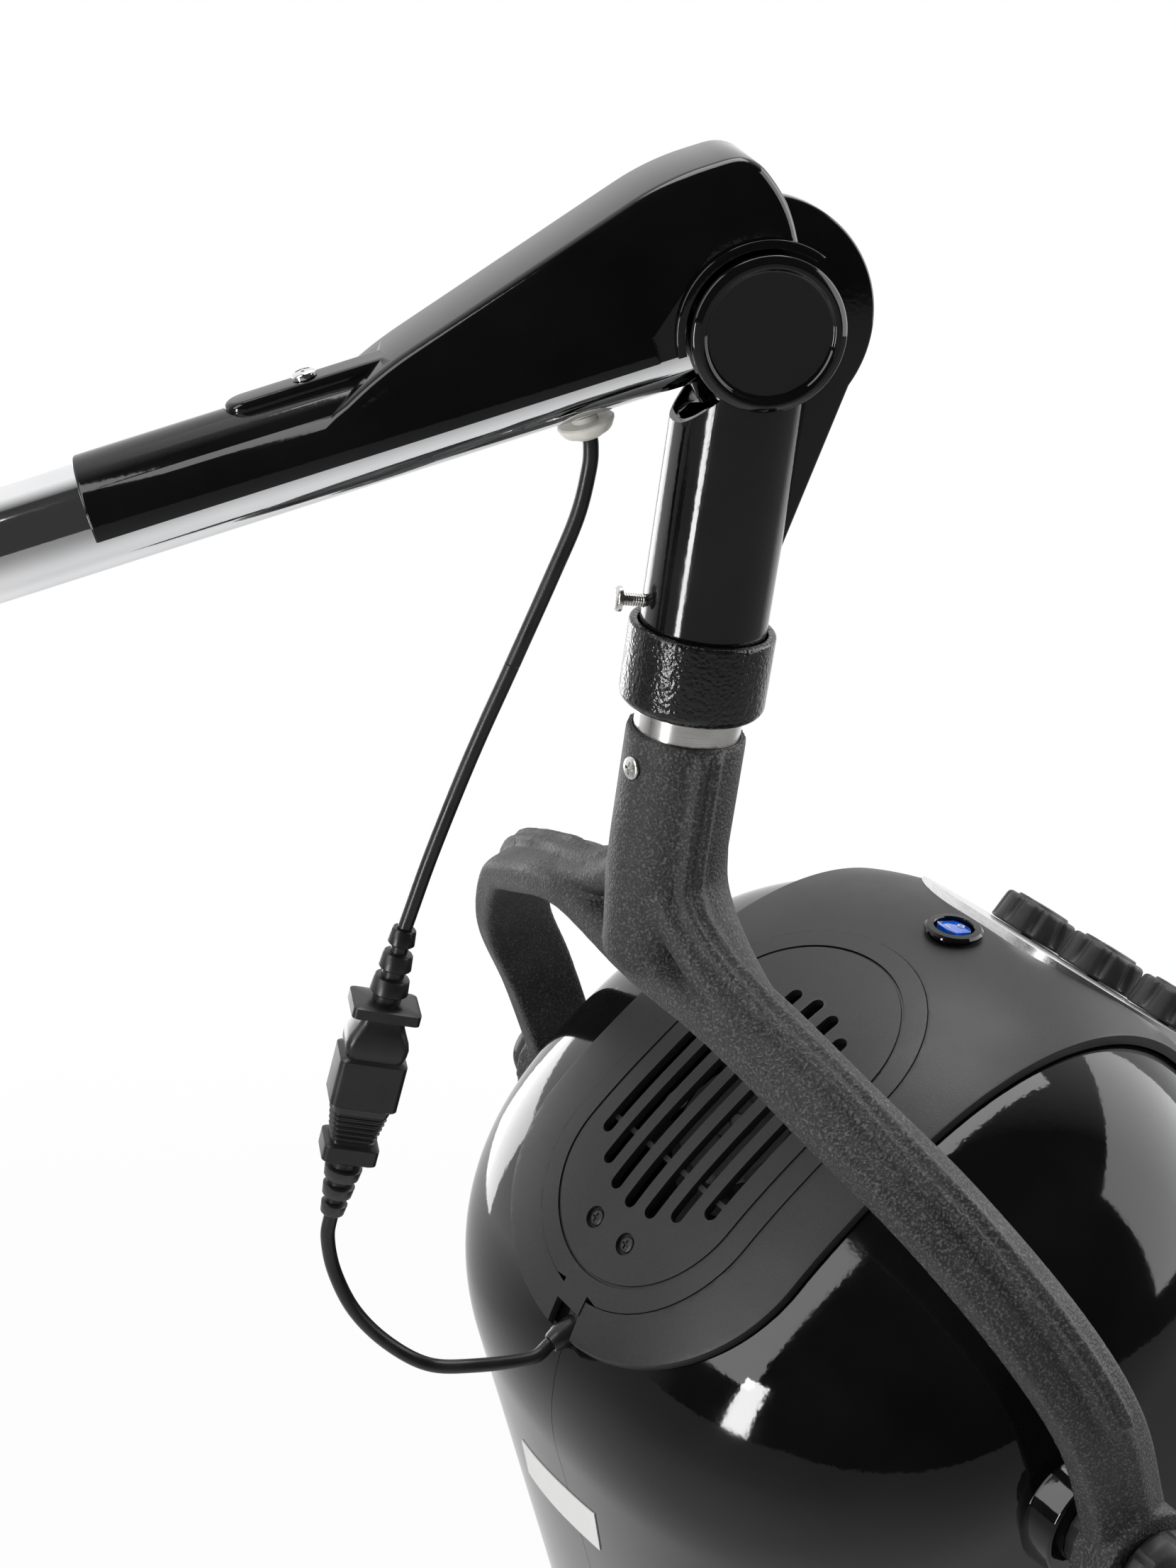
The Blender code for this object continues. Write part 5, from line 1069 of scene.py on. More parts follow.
def barrel_cap(name, turn):
    face = BARREL_HALF + FIT
    top = face + 4 * MM
    profile = [
        (0, top - 1.5 * MM), (CAP_R - 8 * MM, top - 1.35 * MM), (CAP_R - 5.6 * MM, top - 1.3 * MM),
        (CAP_R - 4.6 * MM, top - 0.1 * MM), (CAP_R - 3.4 * MM, top), (CAP_R - 2.6 * MM, top),
        (CAP_R, top - 1.4 * MM), (CAP_R, face), (CAP_PLUG_R, face), (CAP_PLUG_R, face - 1.5 * MM),
        (0, face - 1.5 * MM)]
    mesh = spun(rounded(profile, 1.0 * MM, 5, False), 160)
    return piece(name + "_gloss", moved(mesh, turn), DROP, "gloss_black", "drop_body", (name,), sharp=50)


def collar():
    bore = TUBE_R + FIT
    lip = COLLAR_BOTTOM + 3.4 * MM
    profile = [
        (bore, COLLAR_TOP), (COLLAR_R, COLLAR_TOP), (COLLAR_R, COLLAR_BOTTOM + 3 * MM),
        (COLLAR_R - 3 * MM, COLLAR_BOTTOM), (STUB_R + FIT, COLLAR_BOTTOM), (STUB_R + FIT, lip),
        (bore, lip)]
    mesh = spun(rounded(profile, 2.0 * MM, 5), 160, True)
    return piece("collar_hammered", mesh, DROP, "hammered_black", "drop_body", ("collar",), sharp=60)


def swivel_stub():
    low = NECK_TOP - NECK_DEPTH + FIT
    high = -68 * MM
    groove_top = SET_SCREW_Z + 4 * MM
    groove_foot = SET_SCREW_Z - 4 * MM
    deep = STUB_R - 2 * MM
    inner = STUB_R - 3 * MM
    profile = [
        (inner, high), (STUB_R, high), (STUB_R, groove_top), (deep, groove_top),
        (deep, groove_foot), (STUB_R, groove_foot), (STUB_R, low), (inner, low)]
    mesh = spun(profile, 128, True)
    return piece("swivel_stub_steel", mesh, FORK, "bright_steel", "fork_body", ("swivel_stub",))


barrel_cap("barrel_cap_near", UPRIGHT)
barrel_cap("barrel_cap_far", ALONG_Y)
collar()
swivel_stub()
print("caps, collar and stub turned")

# %% [markdown]
# The fork is moulded in one, and nothing on it has a sharp corner. Booleans would leave creases at
# the joins. So the band is swept along a smooth path and set into the neck, the webs and the hubs,
# and all of it is later remeshed in small voxels, which melts the joins into fillets as the mould
# does.

# %% Fork band
NECK_R = 24 * MM
NECK_SCREW_Z = NECK_TOP - 14 * MM
PIVOT_X = 125 * MM
PIVOT_Z = -455 * MM
HUB_R = 24 * MM
HUB_IN = 199 * MM
HUB_THICK = 20 * MM
BAND = 18 * MM
BAND_IN = 9 * MM
BAND_OUT = 6 * MM
RIDGE = 10.5 * MM
BAND_LEAN = (1, 0, 0.25)
FAR_LIFT = 9 * MM
BOLT_HOLE_R = 5.3 * MM
SCREW_HOLE_R = 2.3 * MM
FORK_HALF_PATH = [
    (4, 0, -262), (5, 57, -265), (17, 108, -283), (37, 153, -308), (64, 190, -345), (95, 206, -390)]


def band_section():
    b = BAND
    corners = [
        (-b, -BAND_IN), (-b, BAND_OUT - 2 * MM), (-b + 5 * MM, BAND_OUT), (-1 * MM, BAND_OUT + 1.5 * MM),
        (1 * MM, RIDGE), (4 * MM, RIDGE), (b - 2 * MM, BAND_OUT - 1 * MM), (b, BAND_OUT - 4 * MM),
        (b, -BAND_IN)]
    return rounded(corners, 2.2 * MM, 3)


def square_to(ahead, across):
    """The way across a path, made square to it."""
    wide = Vector(across)
    return (wide - ahead * wide.dot(ahead)).normalized()


def swept(path, section, across=BAND_LEAN, end=1.0):
    """A section carried along a path; it shrinks towards the end."""
    rings = []
    last = len(path) - 1
    for i, at in enumerate(path):
        ahead = (path[min(i + 1, last)] - path[max(i - 1, 0)]).normalized()
        wide = square_to(ahead, across)
        out = wide.cross(ahead)
        size = 1 + (end - 1) * (i / last) ** 2
        rings.append([at + (wide * w + out * o) * size for w, o in section])
    return loft(rings)


def melted(mesh, voxel, rounds):
    """A mesh rebuilt in small voxels and relaxed, so that its joins run into each other."""
    obj = bpy.data.objects.new("work", mesh)
    bpy.context.scene.collection.objects.link(obj)
    step = obj.modifiers.new("voxels", "REMESH")
    step.mode = "VOXEL"
    step.voxel_size = voxel
    relax = obj.modifiers.new("relax", "SMOOTH")
    relax.factor = 0.5
    relax.iterations = rounds
    return evaluated(obj)


def joined(meshes):
    bm = bmesh.new()
    for one in meshes:
        bm.from_mesh(one)
    return to_mesh(bm)


def arm_path(side):
    half = [Vector(p) * MM for p in FORK_HALF_PATH]
    half.append(Vector((PIVOT_X - 5 * MM, HUB_IN + BAND_IN + FIT, PIVOT_Z + 16 * MM)))
    lift = [FAR_LIFT if side > 0 and 40 * MM < p.y < 180 * MM else 0 for p in half]
    return [Vector((p.x, side * p.y, p.z + up)) for p, up in zip(half, lift)]


def fork_blank():
    """Band, neck, webs and hubs, still as separate bodies."""
    body = swept(smooth_path([*arm_path(-1)[:0:-1], *arm_path(1)], 8), band_section())
    foot = FORK_HALF_PATH[0][2] * MM - BAND_IN + 2 * MM
    bend = NECK_TOP - NECK_DEPTH - 8 * MM
    neck = eased([(NECK_R, NECK_TOP), (NECK_R, bend), (NECK_R - 4 * MM, foot), (0, foot)], 14 * MM, 8)
    neck = spun([(0, NECK_TOP), *neck], 96)
    made = [body, neck]
    for side, up in ((-1, 0), (1, FAR_LIFT)):
        oval = [(20 * MM * cos(a), 11 * MM * sin(a)) for a in (2 * pi * i / 32 for i in range(32))]
        way = smooth_path([
            (1 * MM, side * 9 * MM, bend + 14 * MM), (2 * MM, side * 15 * MM, bend - 8 * MM),
            (4 * MM, side * 36 * MM, up / 2 - 250 * MM), (8 * MM, side * 74 * MM, up - 271 * MM),
            (12 * MM, side * 94 * MM, up - 279 * MM)], 6)
        made.append(swept(way, oval, (1, 0, 0), 0.45))
        at = shift(PIVOT_X, side * (HUB_IN + HUB_THICK / 2), PIVOT_Z)
        made.append(moved(rod(HUB_R, HUB_THICK, 64), ALONG_Y, at))
    return made


print("fork path:", len(arm_path(1)), "points to a side")

# %% [markdown]
# Raised lines run down the neck and out along the arms. A bump would vanish at the outline, so they
# are thin tubes, laid on the rough form by casting rays at it.

# %% Fork beads
BEAD_R = 2.3 * MM
BEAD_PROUD = 1.2
BEAD_ASIDE = 3.1
NECK_LINE = [
    ((-6, 26, -167), (0, 0, -167)), ((-6, 26, -190), (0, 0, -190)), ((-6, 27, -216), (0, 3, -218)),
    ((-5, 32, -231), (1, 12, -240)), ((-1, 42, -243), (3, 28, -258)), ((3, 56, -251), (5, 48, -266))]


def bead(tree, side, aside):
    """A raised line down the neck and along one arm, laid on the fork's surface."""
    outer = [Vector((x + aside, side * y, z)) * MM for (x, y, z), _ in NECK_LINE]
    spine = [Vector((x + aside, side * y, z)) * MM for _, (x, y, z) in NECK_LINE]
    path = smooth_path(arm_path(side), 2)
    for i in range(5, len(path) - 2):
        ahead = (path[i + 1] - path[i - 1]).normalized()
        wide = square_to(ahead, BAND_LEAN)
        out = wide.cross(ahead) * -side
        if out.z < 0:
            out = -out
        spine.append(path[i] + wide * (2.5 + aside) * MM)
        outer.append(spine[-1] + out * 14 * MM)
    points = []
    for a, b in zip(smooth_path(outer, 5), smooth_path(spine, 5)):
        way = (b - a).normalized()
        hit = tree.ray_cast(a - way * 12 * MM, way)[0]
        if hit:
            points.append(hit - way * BEAD_PROUD * MM)
    return hose(points[::2], BEAD_R, 12)


print("bead line down the neck:", len(NECK_LINE), "points")

# %% [markdown]
# The form is melted twice: coarsely, to have a surface for the beads to lie on, and finely with the
# beads in it. One pass would need the beads' places typed in. The bores are cut last, so that their
# mouths stay sharp.

# %% Fork
ROUGH_VOXEL = 2.4 * MM
FINE_VOXEL = 1.5 * MM


def fork():
    blank = fork_blank()
    rough = melted(joined(blank), ROUGH_VOXEL, 3)
    corners = [v.co for v in rough.vertices]
    tree = BVHTree.FromPolygons(corners, [p.vertices for p in rough.polygons])
    beads = [bead(tree, side, aside) for side in (-1, 1) for aside in (-BEAD_ASIDE, BEAD_ASIDE)]
    body = melted(joined(blank + beads), FINE_VOXEL, 2)
    cuts = [
        moved(rod(STUB_R + FIT, NECK_DEPTH + 20 * MM, 96),
              shift(0, 0, NECK_TOP - NECK_DEPTH / 2 + 10 * MM)),
        moved(rod(SCREW_HOLE_R, 2 * NECK_R, 24), ALONG_X, shift(-NECK_R, 0, NECK_SCREW_Z)),
        moved(rod(BOLT_HOLE_R, 3 * HUB_IN, 32), ALONG_Y, shift(PIVOT_X, 0, PIVOT_Z)),
    ]
    body = solid_with(body, cuts)
    return piece("fork_grained", body, FORK, "grained_charcoal", "fork_body", ("fork",), sharp=50)


print("fork:", len(fork().data.polygons), "faces")

# %% [markdown]
# The hood is a rounded dome on a straight skirt that flares to its rim. Sculpting it would lose its
# even curve, so every point of it comes from one formula, and the skirt starts where a straight
# line up from the rim just touches the dome. The shells, the bowl, the rim and the label all ask
# this formula.

# %% Hood surface
DOME_POWER = 2.4
DOME_SIDE = 181 * MM
DOME_BACK = 165 * MM
DOME_FRONT = 169 * MM
DOME_RISE = 132 * MM
DOME_X = 20 * MM
DOME_Z = -5 * MM
RIM_Z = -150 * MM
RIM_SLOPE = 0.11
FLARE_SIDE = 0.08
FLARE_BACK = 0.46
FLARE_FRONT = 0.05
SEAT = 1.4 * MM


def plan_point(theta, grow):
    c = cos(theta)
    s = sin(theta)
    spread = (abs(c) ** DOME_POWER + abs(s) ** DOME_POWER) ** (-1 / DOME_POWER)
    deep = (DOME_FRONT if c > 0 else DOME_BACK) + grow
    return deep * c * spread, (DOME_SIDE + grow) * s * spread


def arch_point(theta, drop, grow):
    x, y = plan_point(theta, grow)
    lean = drop * pi / 2
    wide = sin(lean) ** (2 / DOME_POWER)
    high = max(cos(lean), 0.0) ** (2 / DOME_POWER)
    return Vector((DOME_X + x * wide, y * wide, DOME_Z + (DOME_RISE + grow) * high))


def rim_point(theta, grow):
    x, y = plan_point(theta, grow)
    x *= 1 + (FLARE_FRONT if x > 0 else FLARE_BACK)
    return Vector((DOME_X + x, y * (1 + FLARE_SIDE), RIM_Z + RIM_SLOPE * (DOME_X + x)))


@lru_cache(maxsize=None)
def skirt_start(theta):
    """How far down the dome the skirt begins: where a line up from the rim just touches it."""
    foot = rim_point(theta, 0.0)
    reach = hypot(foot.x - DOME_X, foot.y)

    def slant(drop):
        p = arch_point(theta, drop, 0.0)
        return atan2(p.z - foot.z, hypot(p.x - DOME_X, p.y) - reach)

    return min((0.6 + 0.005 * k for k in range(81)), key=slant)


def dome_point(theta, drop, grow):
    """A point of the hood: theta from the front round the left, drop 0 at the crown and 2 at the rim."""
    start = skirt_start(theta)
    if drop <= start:
        return arch_point(theta, drop, grow)
    share = (drop - start) / (2 - start)
    return arch_point(theta, start, grow).lerp(rim_point(theta, grow), share)


print("at the back the skirt starts at drop", round(skirt_start(pi), 2))

# %% [markdown]
# What lies on top, such as the lid, its screws and the switch, needs the height and the slope of
# the crown at a place in plan. A ray cast at the finished shell would give them, but the formula
# turned round is exact, and needs no shell yet.

# %% On the crown
def crown_height(x, y, grow):
    deep = (DOME_FRONT if x > DOME_X else DOME_BACK) + grow
    left = 1 - abs(y / (DOME_SIDE + grow)) ** DOME_POWER - abs((x - DOME_X) / deep) ** DOME_POWER
    return DOME_Z + (DOME_RISE + grow) * max(0.0, left) ** (1 / DOME_POWER)


def crown_normal(x, y):
    step = 1 * MM
    ahead = Vector((2 * step, 0, crown_height(x + step, y, 0) - crown_height(x - step, y, 0)))
    aside = Vector((0, 2 * step, crown_height(x, y + step, 0) - crown_height(x, y - step, 0)))
    return ahead.cross(aside).normalized()


def on_crown(x, y, grow):
    """The place and turn of something that stands on the hood's top."""
    return Matrix.Translation((x, y, crown_height(x, y, grow))) @ along(crown_normal(x, y))


def slab(low_rows, high_rows):
    """A closed body between two like grids of points."""
    bm = bmesh.new()
    low = [[bm.verts.new(p) for p in row] for row in low_rows]
    high = [[bm.verts.new(p) for p in row] for row in high_rows]
    wide = len(low[0])
    for grid in (low, high):
        for a, b in zip(grid, grid[1:]):
            for i in range(wide - 1):
                bm.faces.new((a[i], a[i + 1], b[i + 1], b[i]))
    for k in (0, -1):
        for i in range(wide - 1):
            bm.faces.new((low[k][i], low[k][i + 1], high[k][i + 1], high[k][i]))
        for j in range(len(low) - 1):
            bm.faces.new((low[j][k], low[j + 1][k], high[j + 1][k], high[j][k]))
    return to_mesh(bm)


print("crown stands", round(1000 * crown_height(DOME_X, 0, 0)), "mm over the hood's pivot")

# %% [markdown]
# The fittings set the cuts: the lid's opening, the arched control plate, the switch and the cord's
# gland. A hole and its piece could be measured one by one, but then they drift apart. Their
# outlines are written once, and both the cut and the piece that fills it take their size from
# there.

# %% Outlines on the hood
LID_LENGTH = 102.5 * MM
LID_HALF = 61.5 * MM
LID_LEDGE = 12 * MM
TAB_HALF = 8 * MM
TAB_BACK = -88.5 * MM
PANEL_HALF = 88 * MM
PANEL_THICK = 3.7 * MM
PANEL_BACK = -99 * MM
PANEL_ROUND_X = -20 * MM
CONTROL_X = 198.6 * MM
CONTROL_Z = -11.1 * MM
CONTROL_RISE = 35 * MM
CONTROL_CORNER = 16 * MM
CONTROL_HALF = 76 * MM
CONTROL_TALL = 65 * MM
CONTROL_THICK = 18 * MM
SWITCH_X = 149 * MM
SWITCH_Y = -3.5 * MM
SWITCH_R = 11 * MM
GLAND_R = 5.6 * MM
GLAND_X = TAB_BACK - 8 * MM
FACE_LEAN = Matrix.Rotation(-radians(18), 4, "Y")
FACE = shift(CONTROL_X - CONTROL_THICK / 2, 0, CONTROL_Z) @ FACE_LEAN @ ALONG_X
SWITCH = on_crown(SWITCH_X, SWITCH_Y, SEAT + PANEL_THICK)
GLAND = Matrix.Translation((GLAND_X, 0, crown_height(GLAND_X, 0, 0))) @ along((0.958, 0, -0.285))


def lid_outline(shrink=0.0, steps=40):
    half = LID_HALF - shrink
    straight = LID_LENGTH - LID_HALF
    front = arc(DOME_X + straight, 0, half, -90, 90, steps)
    return front + arc(DOME_X - straight, 0, half, 90, 270, steps)


def fascia_outline(grow=0.0):
    """The control plate's outline, arched at its top; its first axis runs down the face."""
    low = CONTROL_TALL - CONTROL_RISE + grow
    high = -CONTROL_TALL - CONTROL_RISE - grow
    half = CONTROL_HALF + grow
    foot = CONTROL_CORNER + grow
    arch = 0.95 * CONTROL_TALL + grow
    left = arc(low - foot, half - foot, foot, 0, 90, 10)
    left += arc(high + arch, half - arch, arch, 90, 180, 28)
    return left + [(x, -y) for x, y in reversed(left)]


def panel_outline(steps=40):
    """The panel in plan: straight sides, a round back notched for the lid's tab, a long front."""
    deep = PANEL_ROUND_X - PANEL_BACK
    end = pi - atan2(TAB_HALF + FIT, PANEL_HALF)
    turns = [pi / 2 + (end - pi / 2) * i / steps for i in range(steps + 1)]
    left = [(PANEL_ROUND_X + deep * cos(a), PANEL_HALF * sin(a)) for a in turns]
    root = DOME_X - LID_LENGTH + 4 * MM
    left.append((root, left[-1][1]))
    front = DOME_X + 2 * DOME_FRONT
    return [*left, *[(x, -y) for x, y in reversed(left)], (front, -PANEL_HALF), (front, PANEL_HALF)]


def stamp(outline, low=40 * MM, high=230 * MM):
    return moved(plate([outline], high - low), shift(0, 0, (low + high) / 2))


print("outlines:", len(lid_outline()), len(fascia_outline()), len(panel_outline()), "points")

# %% [markdown]
# The shells are polished mouldings of even wall that meet in a seam down the back. Gloss shows
# every flat, so the grid is dense. A skin of no thickness would look right from outside only, so
# each shell has both its faces.

# %% Hood shells
SHELL_WALL = 3 * MM
BOSS_R = 30 * MM
BOSS_OUT = DOME_SIDE + 11 * MM


def hood_shell(name, side):
    around = 96
    drops = [0.06 + 0.94 * i / 40 for i in range(41)] + [1 + i / 24 for i in range(1, 25)]
    grids = []
    for grow in (-SHELL_WALL, 0.0):
        rows = []
        for drop in drops:
            row = [dome_point(side * pi * i / around, drop, grow) for i in range(around + 1)]
            rows.append([p + Vector((0, side * FIT / 2, 0)) for p in row])
        grids.append(rows)
    start = DOME_SIDE - 10 * MM
    profile = [(0, BOSS_OUT), (BOSS_R - 2 * MM, BOSS_OUT), (BOSS_R, start), (0, start)]
    boss = spun(eased(profile, 1.5 * MM, 5), 128)
    body = solid_with(slab(*grids), [moved(boss, ALONG_Y if side > 0 else UPRIGHT)], "UNION")
    cuts = [
        stamp(lid_outline(LID_LEDGE)),
        moved(plate([fascia_outline(FIT)], 120 * MM), FACE),
        moved(rod(SWITCH_R + FIT, 60 * MM, 64), SWITCH),
        moved(rod(GLAND_R + FIT, 30 * MM, 48), GLAND),
        moved(rod(BOLT_HOLE_R, 60 * MM, 32), ALONG_Y, shift(0, side * DOME_SIDE, 0)),
    ]
    body = solid_with(body, cuts)
    return piece(name + "_gloss", body, HOOD, "gloss_black", "hood_body", (name,), sharp=38)


SHELLS = [hood_shell("shell_left", 1), hood_shell("shell_right", -1)]
print("shells:", [len(one.data.polygons) for one in SHELLS], "faces")

# %% [markdown]
# A matte moulding lies over the crown and runs down the front, and a vented lid is let into it.
# Both could be pulled from the shell's faces, but they follow the hood's surface a little further
# out. So they are drawn as patches of it, and cut with tall stamps.

# %% Top panel
def crown_point(y, angle, grow):
    shrink = max(0.0, 1 - abs(y / (DOME_SIDE + grow)) ** DOME_POWER) ** (1 / DOME_POWER)
    c = copysign(abs(cos(angle)) ** (2 / DOME_POWER), cos(angle))
    s = abs(sin(angle)) ** (2 / DOME_POWER)
    deep = (DOME_FRONT if c > 0 else DOME_BACK) + grow
    return Vector((DOME_X + deep * shrink * c, y, DOME_Z + (DOME_RISE + grow) * shrink * s))


def crown_patch(half, first, last, steps, across, low, high):
    grids = []
    for grow in (low, high):
        rows = []
        for k in range(steps + 1):
            angle = radians(first + (last - first) * k / steps)
            sides = (half * (2 * i / across - 1) for i in range(across + 1))
            rows.append([crown_point(y, angle, grow) for y in sides])
        grids.append(rows)
    return slab(*grids)


def top_panel():
    body = crown_patch(PANEL_HALF + 8 * MM, 1, 135, 110, 64, SEAT, SEAT + PANEL_THICK)
    body = solid_with(body, [stamp(panel_outline(), DOME_Z - 55 * MM, 260 * MM)], "INTERSECT")
    cuts = [
        stamp(lid_outline(-FIT)),
        moved(plate([fascia_outline(FIT)], 120 * MM), FACE),
        moved(rod(SWITCH_R + FIT, 40 * MM, 64), SWITCH),
    ]
    body = softened(solid_with(body, cuts), 0.8 * MM, 3, 40)
    return piece("top_panel_matte", body, HOOD, "matte_black", "hood_body", ("top_panel",), sharp=40)


print("top panel:", len(top_panel().data.polygons), "faces")

# %% [markdown]
# The lid is the hood's air inlet: seven slots over the motor, two thin bars under them that tie
# their lands together, and two sunk screws. The slots could be drawn in a texture, but light has to
# fall through them, so they are cut.

# %% Vent lid
LID_THICK = 4.2 * MM
GROOVE_OUT = 9.4 * MM
GROOVE_IN = 10.8 * MM
GROOVE_DEEP = 0.9 * MM
SLOT_COUNT = 7
SLOT_PITCH = 12.7 * MM
SLOT_WIDTH = 6.5 * MM
SINK_R = 5 * MM
LID_SCREWS = [(-52 * MM, 11.3 * MM), (-52 * MM, -11.3 * MM)]


def lid_with_tab():
    outline = lid_outline()
    root = DOME_X - LID_LENGTH + 2.5 * MM
    keep = [p for p in outline if not (p[0] < root + 1.5 * MM and abs(p[1]) < TAB_HALF + 2 * MM)]
    split = sum(1 for p in keep if not (p[0] < DOME_X and p[1] < 0))
    tab = [(root, TAB_HALF), (TAB_BACK, TAB_HALF), (TAB_BACK, -TAB_HALF), (root, -TAB_HALF)]
    return keep[:split] + tab + keep[split:]


def slot_bars():
    bars = []
    middle = (SLOT_COUNT - 1) / 2
    for i in range(SLOT_COUNT):
        bow = 1 - (abs(i - middle) / (middle + 1.2)) ** 2
        front = DOME_X + (27 + 35.7 * bow) * MM
        rear = DOME_X - (25.2 + 35.7 * bow) * MM
        bar = plate([circle_bar(front - rear, SLOT_WIDTH, 12)], 120 * MM)
        bars.append(moved(bar, shift((front + rear) / 2, (i - middle) * SLOT_PITCH, 130 * MM)))
    return bars


def tie_bar(x, wide=2.4 * MM):
    rows = []
    for grow in (SEAT - 2.4 * MM, SEAT + 1.2 * MM):
        grid = []
        for k in range(2):
            at = x + wide * (k - 0.5)
            ys = [LID_HALF * 0.86 * (2 * i / 30 - 1) for i in range(31)]
            grid.append([Vector((at, y, crown_height(at, y, grow))) for y in ys])
        rows.append(grid)
    return slab(*rows)


def vent_lid():
    top = SEAT + LID_THICK
    body = crown_patch(LID_HALF + 8 * MM, 28, 132, 110, 64, SEAT, top)
    body = solid_with(body, [stamp(lid_with_tab())], "INTERSECT")
    rind = crown_patch(LID_HALF + 12 * MM, 24, 136, 110, 64, top - GROOVE_DEEP, top + 4 * MM)
    groove = solid_with(rind, [stamp(lid_outline(GROOVE_OUT), 60 * MM, 220 * MM)], "INTERSECT")
    groove = solid_with(groove, [stamp(lid_outline(GROOVE_IN), 60 * MM, 220 * MM)])
    cuts = [groove, *slot_bars()]
    for x, y in LID_SCREWS:
        bore = on_crown(x, y, SEAT)
        cuts.append(moved(rod(SCREW_HOLE_R, 40 * MM, 32), bore))
        cuts.append(moved(rod(SINK_R, 20 * MM, 48), shift(0, 0, 12 * MM), bore))
    body = softened(solid_with(body, cuts), 0.5 * MM, 2, 40)
    ties = [tie_bar(x) for x in (-14 * MM, 52 * MM)]
    body = solid_with(body, ties, "UNION")
    return piece("vent_lid_matte", body, HOOD, "matte_black", "hood_body", ("vent_lid",), sharp=40)


print("vent lid:", len(vent_lid().data.polygons), "faces")

# %% [markdown]
# The control plate is bright and arched, and stands a little proud of the panel, so its edge shows
# as a crescent. Its knobs are moulded with nine broad flutes and a thin disc on top. A bevelled
# gear shape would look too sharp, so the flutes come from a smooth wave round the outline.

# %% Control plate and knobs
KNOB_PITCH = 47 * MM
KNOB_SHIFT = 4 * MM
KNOB_FLUTES = 9
SHAFT_R = 3 * MM
KNOB_SPOTS = [KNOB_PITCH * i + KNOB_SHIFT for i in (-1, 0, 1)]


def control_plate():
    holes = [circle(0, y, SHAFT_R + PLAY, 32) for y in KNOB_SPOTS]
    body = plate([fascia_outline(), *holes], CONTROL_THICK)
    body = softened(body, 1.6 * MM, 4, 50)
    where = HOOD @ FACE
    return piece(
        "control_plate_satin", body, where, "satin_silver", "hood_body", ("control_plate",), sharp=30)


def knob_ring(radius, high, depth, sides=180):
    ring_points = []
    for i in range(sides):
        a = 2 * pi * i / sides
        wave = 0.5 - 0.5 * cos(KNOB_FLUTES * a)
        r = radius - depth * wave ** 3
        ring_points.append(Vector((r * cos(a), r * sin(a), high)))
    return ring_points


def knob(name, y):
    levels = [
        (19.4, 0.0, 0.4), (20.2, 0.5, 0.5), (20.4, 1.2, 0.7), (20.2, 2.2, 1.5), (19.7, 9.0, 1.9),
        (19.3, 13.0, 1.9), (18.9, 14.4, 1.8), (18.1, 15.2, 1.5), (16.9, 15.6, 0.8), (15.4, 15.6, 0.2),
        (14.6, 15.4, 0.0), (14.0, 15.5, 0.0), (13.7, 16.2, 0.0), (13.2, 16.7, 0.0), (9.0, 16.9, 0.0),
        (2.0, 17.0, 0.0)]
    body = loft([knob_ring(r * MM, z * MM, d * MM) for r, z, d in levels])
    stem = moved(rod(SHAFT_R, 33 * MM, 32), shift(0, 0, -13.5 * MM))
    body = solid_with(body, [stem], "UNION")
    where = HOOD @ FACE @ shift(0, y, CONTROL_THICK / 2 + PLAY)
    return piece(name + "_moulded", body, where, "matte_black", name + "_body", (name,), sharp=40)


def pointer(name, y):
    """The painted line on a knob's disc."""
    where = HOOD @ FACE @ shift(-8.5 * MM, y, CONTROL_THICK / 2 + PLAY + 16.85 * MM)
    line = block(8 * MM, 1.4 * MM, 0.5 * MM, 0.2 * MM)
    piece(name + "_line", line, where, "white_label", name + "_body")


control_plate()
for number, y in enumerate(KNOB_SPOTS, 1):
    knob(f"knob_{number}", y)
    pointer(f"knob_{number}", y)
print("control plate with", len(KNOB_SPOTS), "knobs")

# %% [markdown]
# The switch is a round lit rocker in a black bezel. Clear glass over a lamp would be slow to
# render, so the lens is a glossy solid with a little glow, and its two marks are the plain ring and
# bar of any mains switch.

# %% Switch
ROCKER_R = 7.7 * MM


def switch_bezel():
    well = (SWITCH_R - 2 * MM) / MM
    neck = SWITCH_R / MM - 0.3
    profile = [
        (0, -9), (well, -9), (well, 3.3), (well + 0.4, 3.8), (12.2, 3.6), (13.3, 2.6), (13.5, 1.9),
        (neck, 1.6), (neck, -14), (0, -14)]
    body = spun([(r * MM, z * MM) for r, z in profile], 96)
    where = HOOD @ SWITCH
    return piece("switch_bezel", body, where, "gloss_black", "hood_body", ("switch_body",), sharp=30)


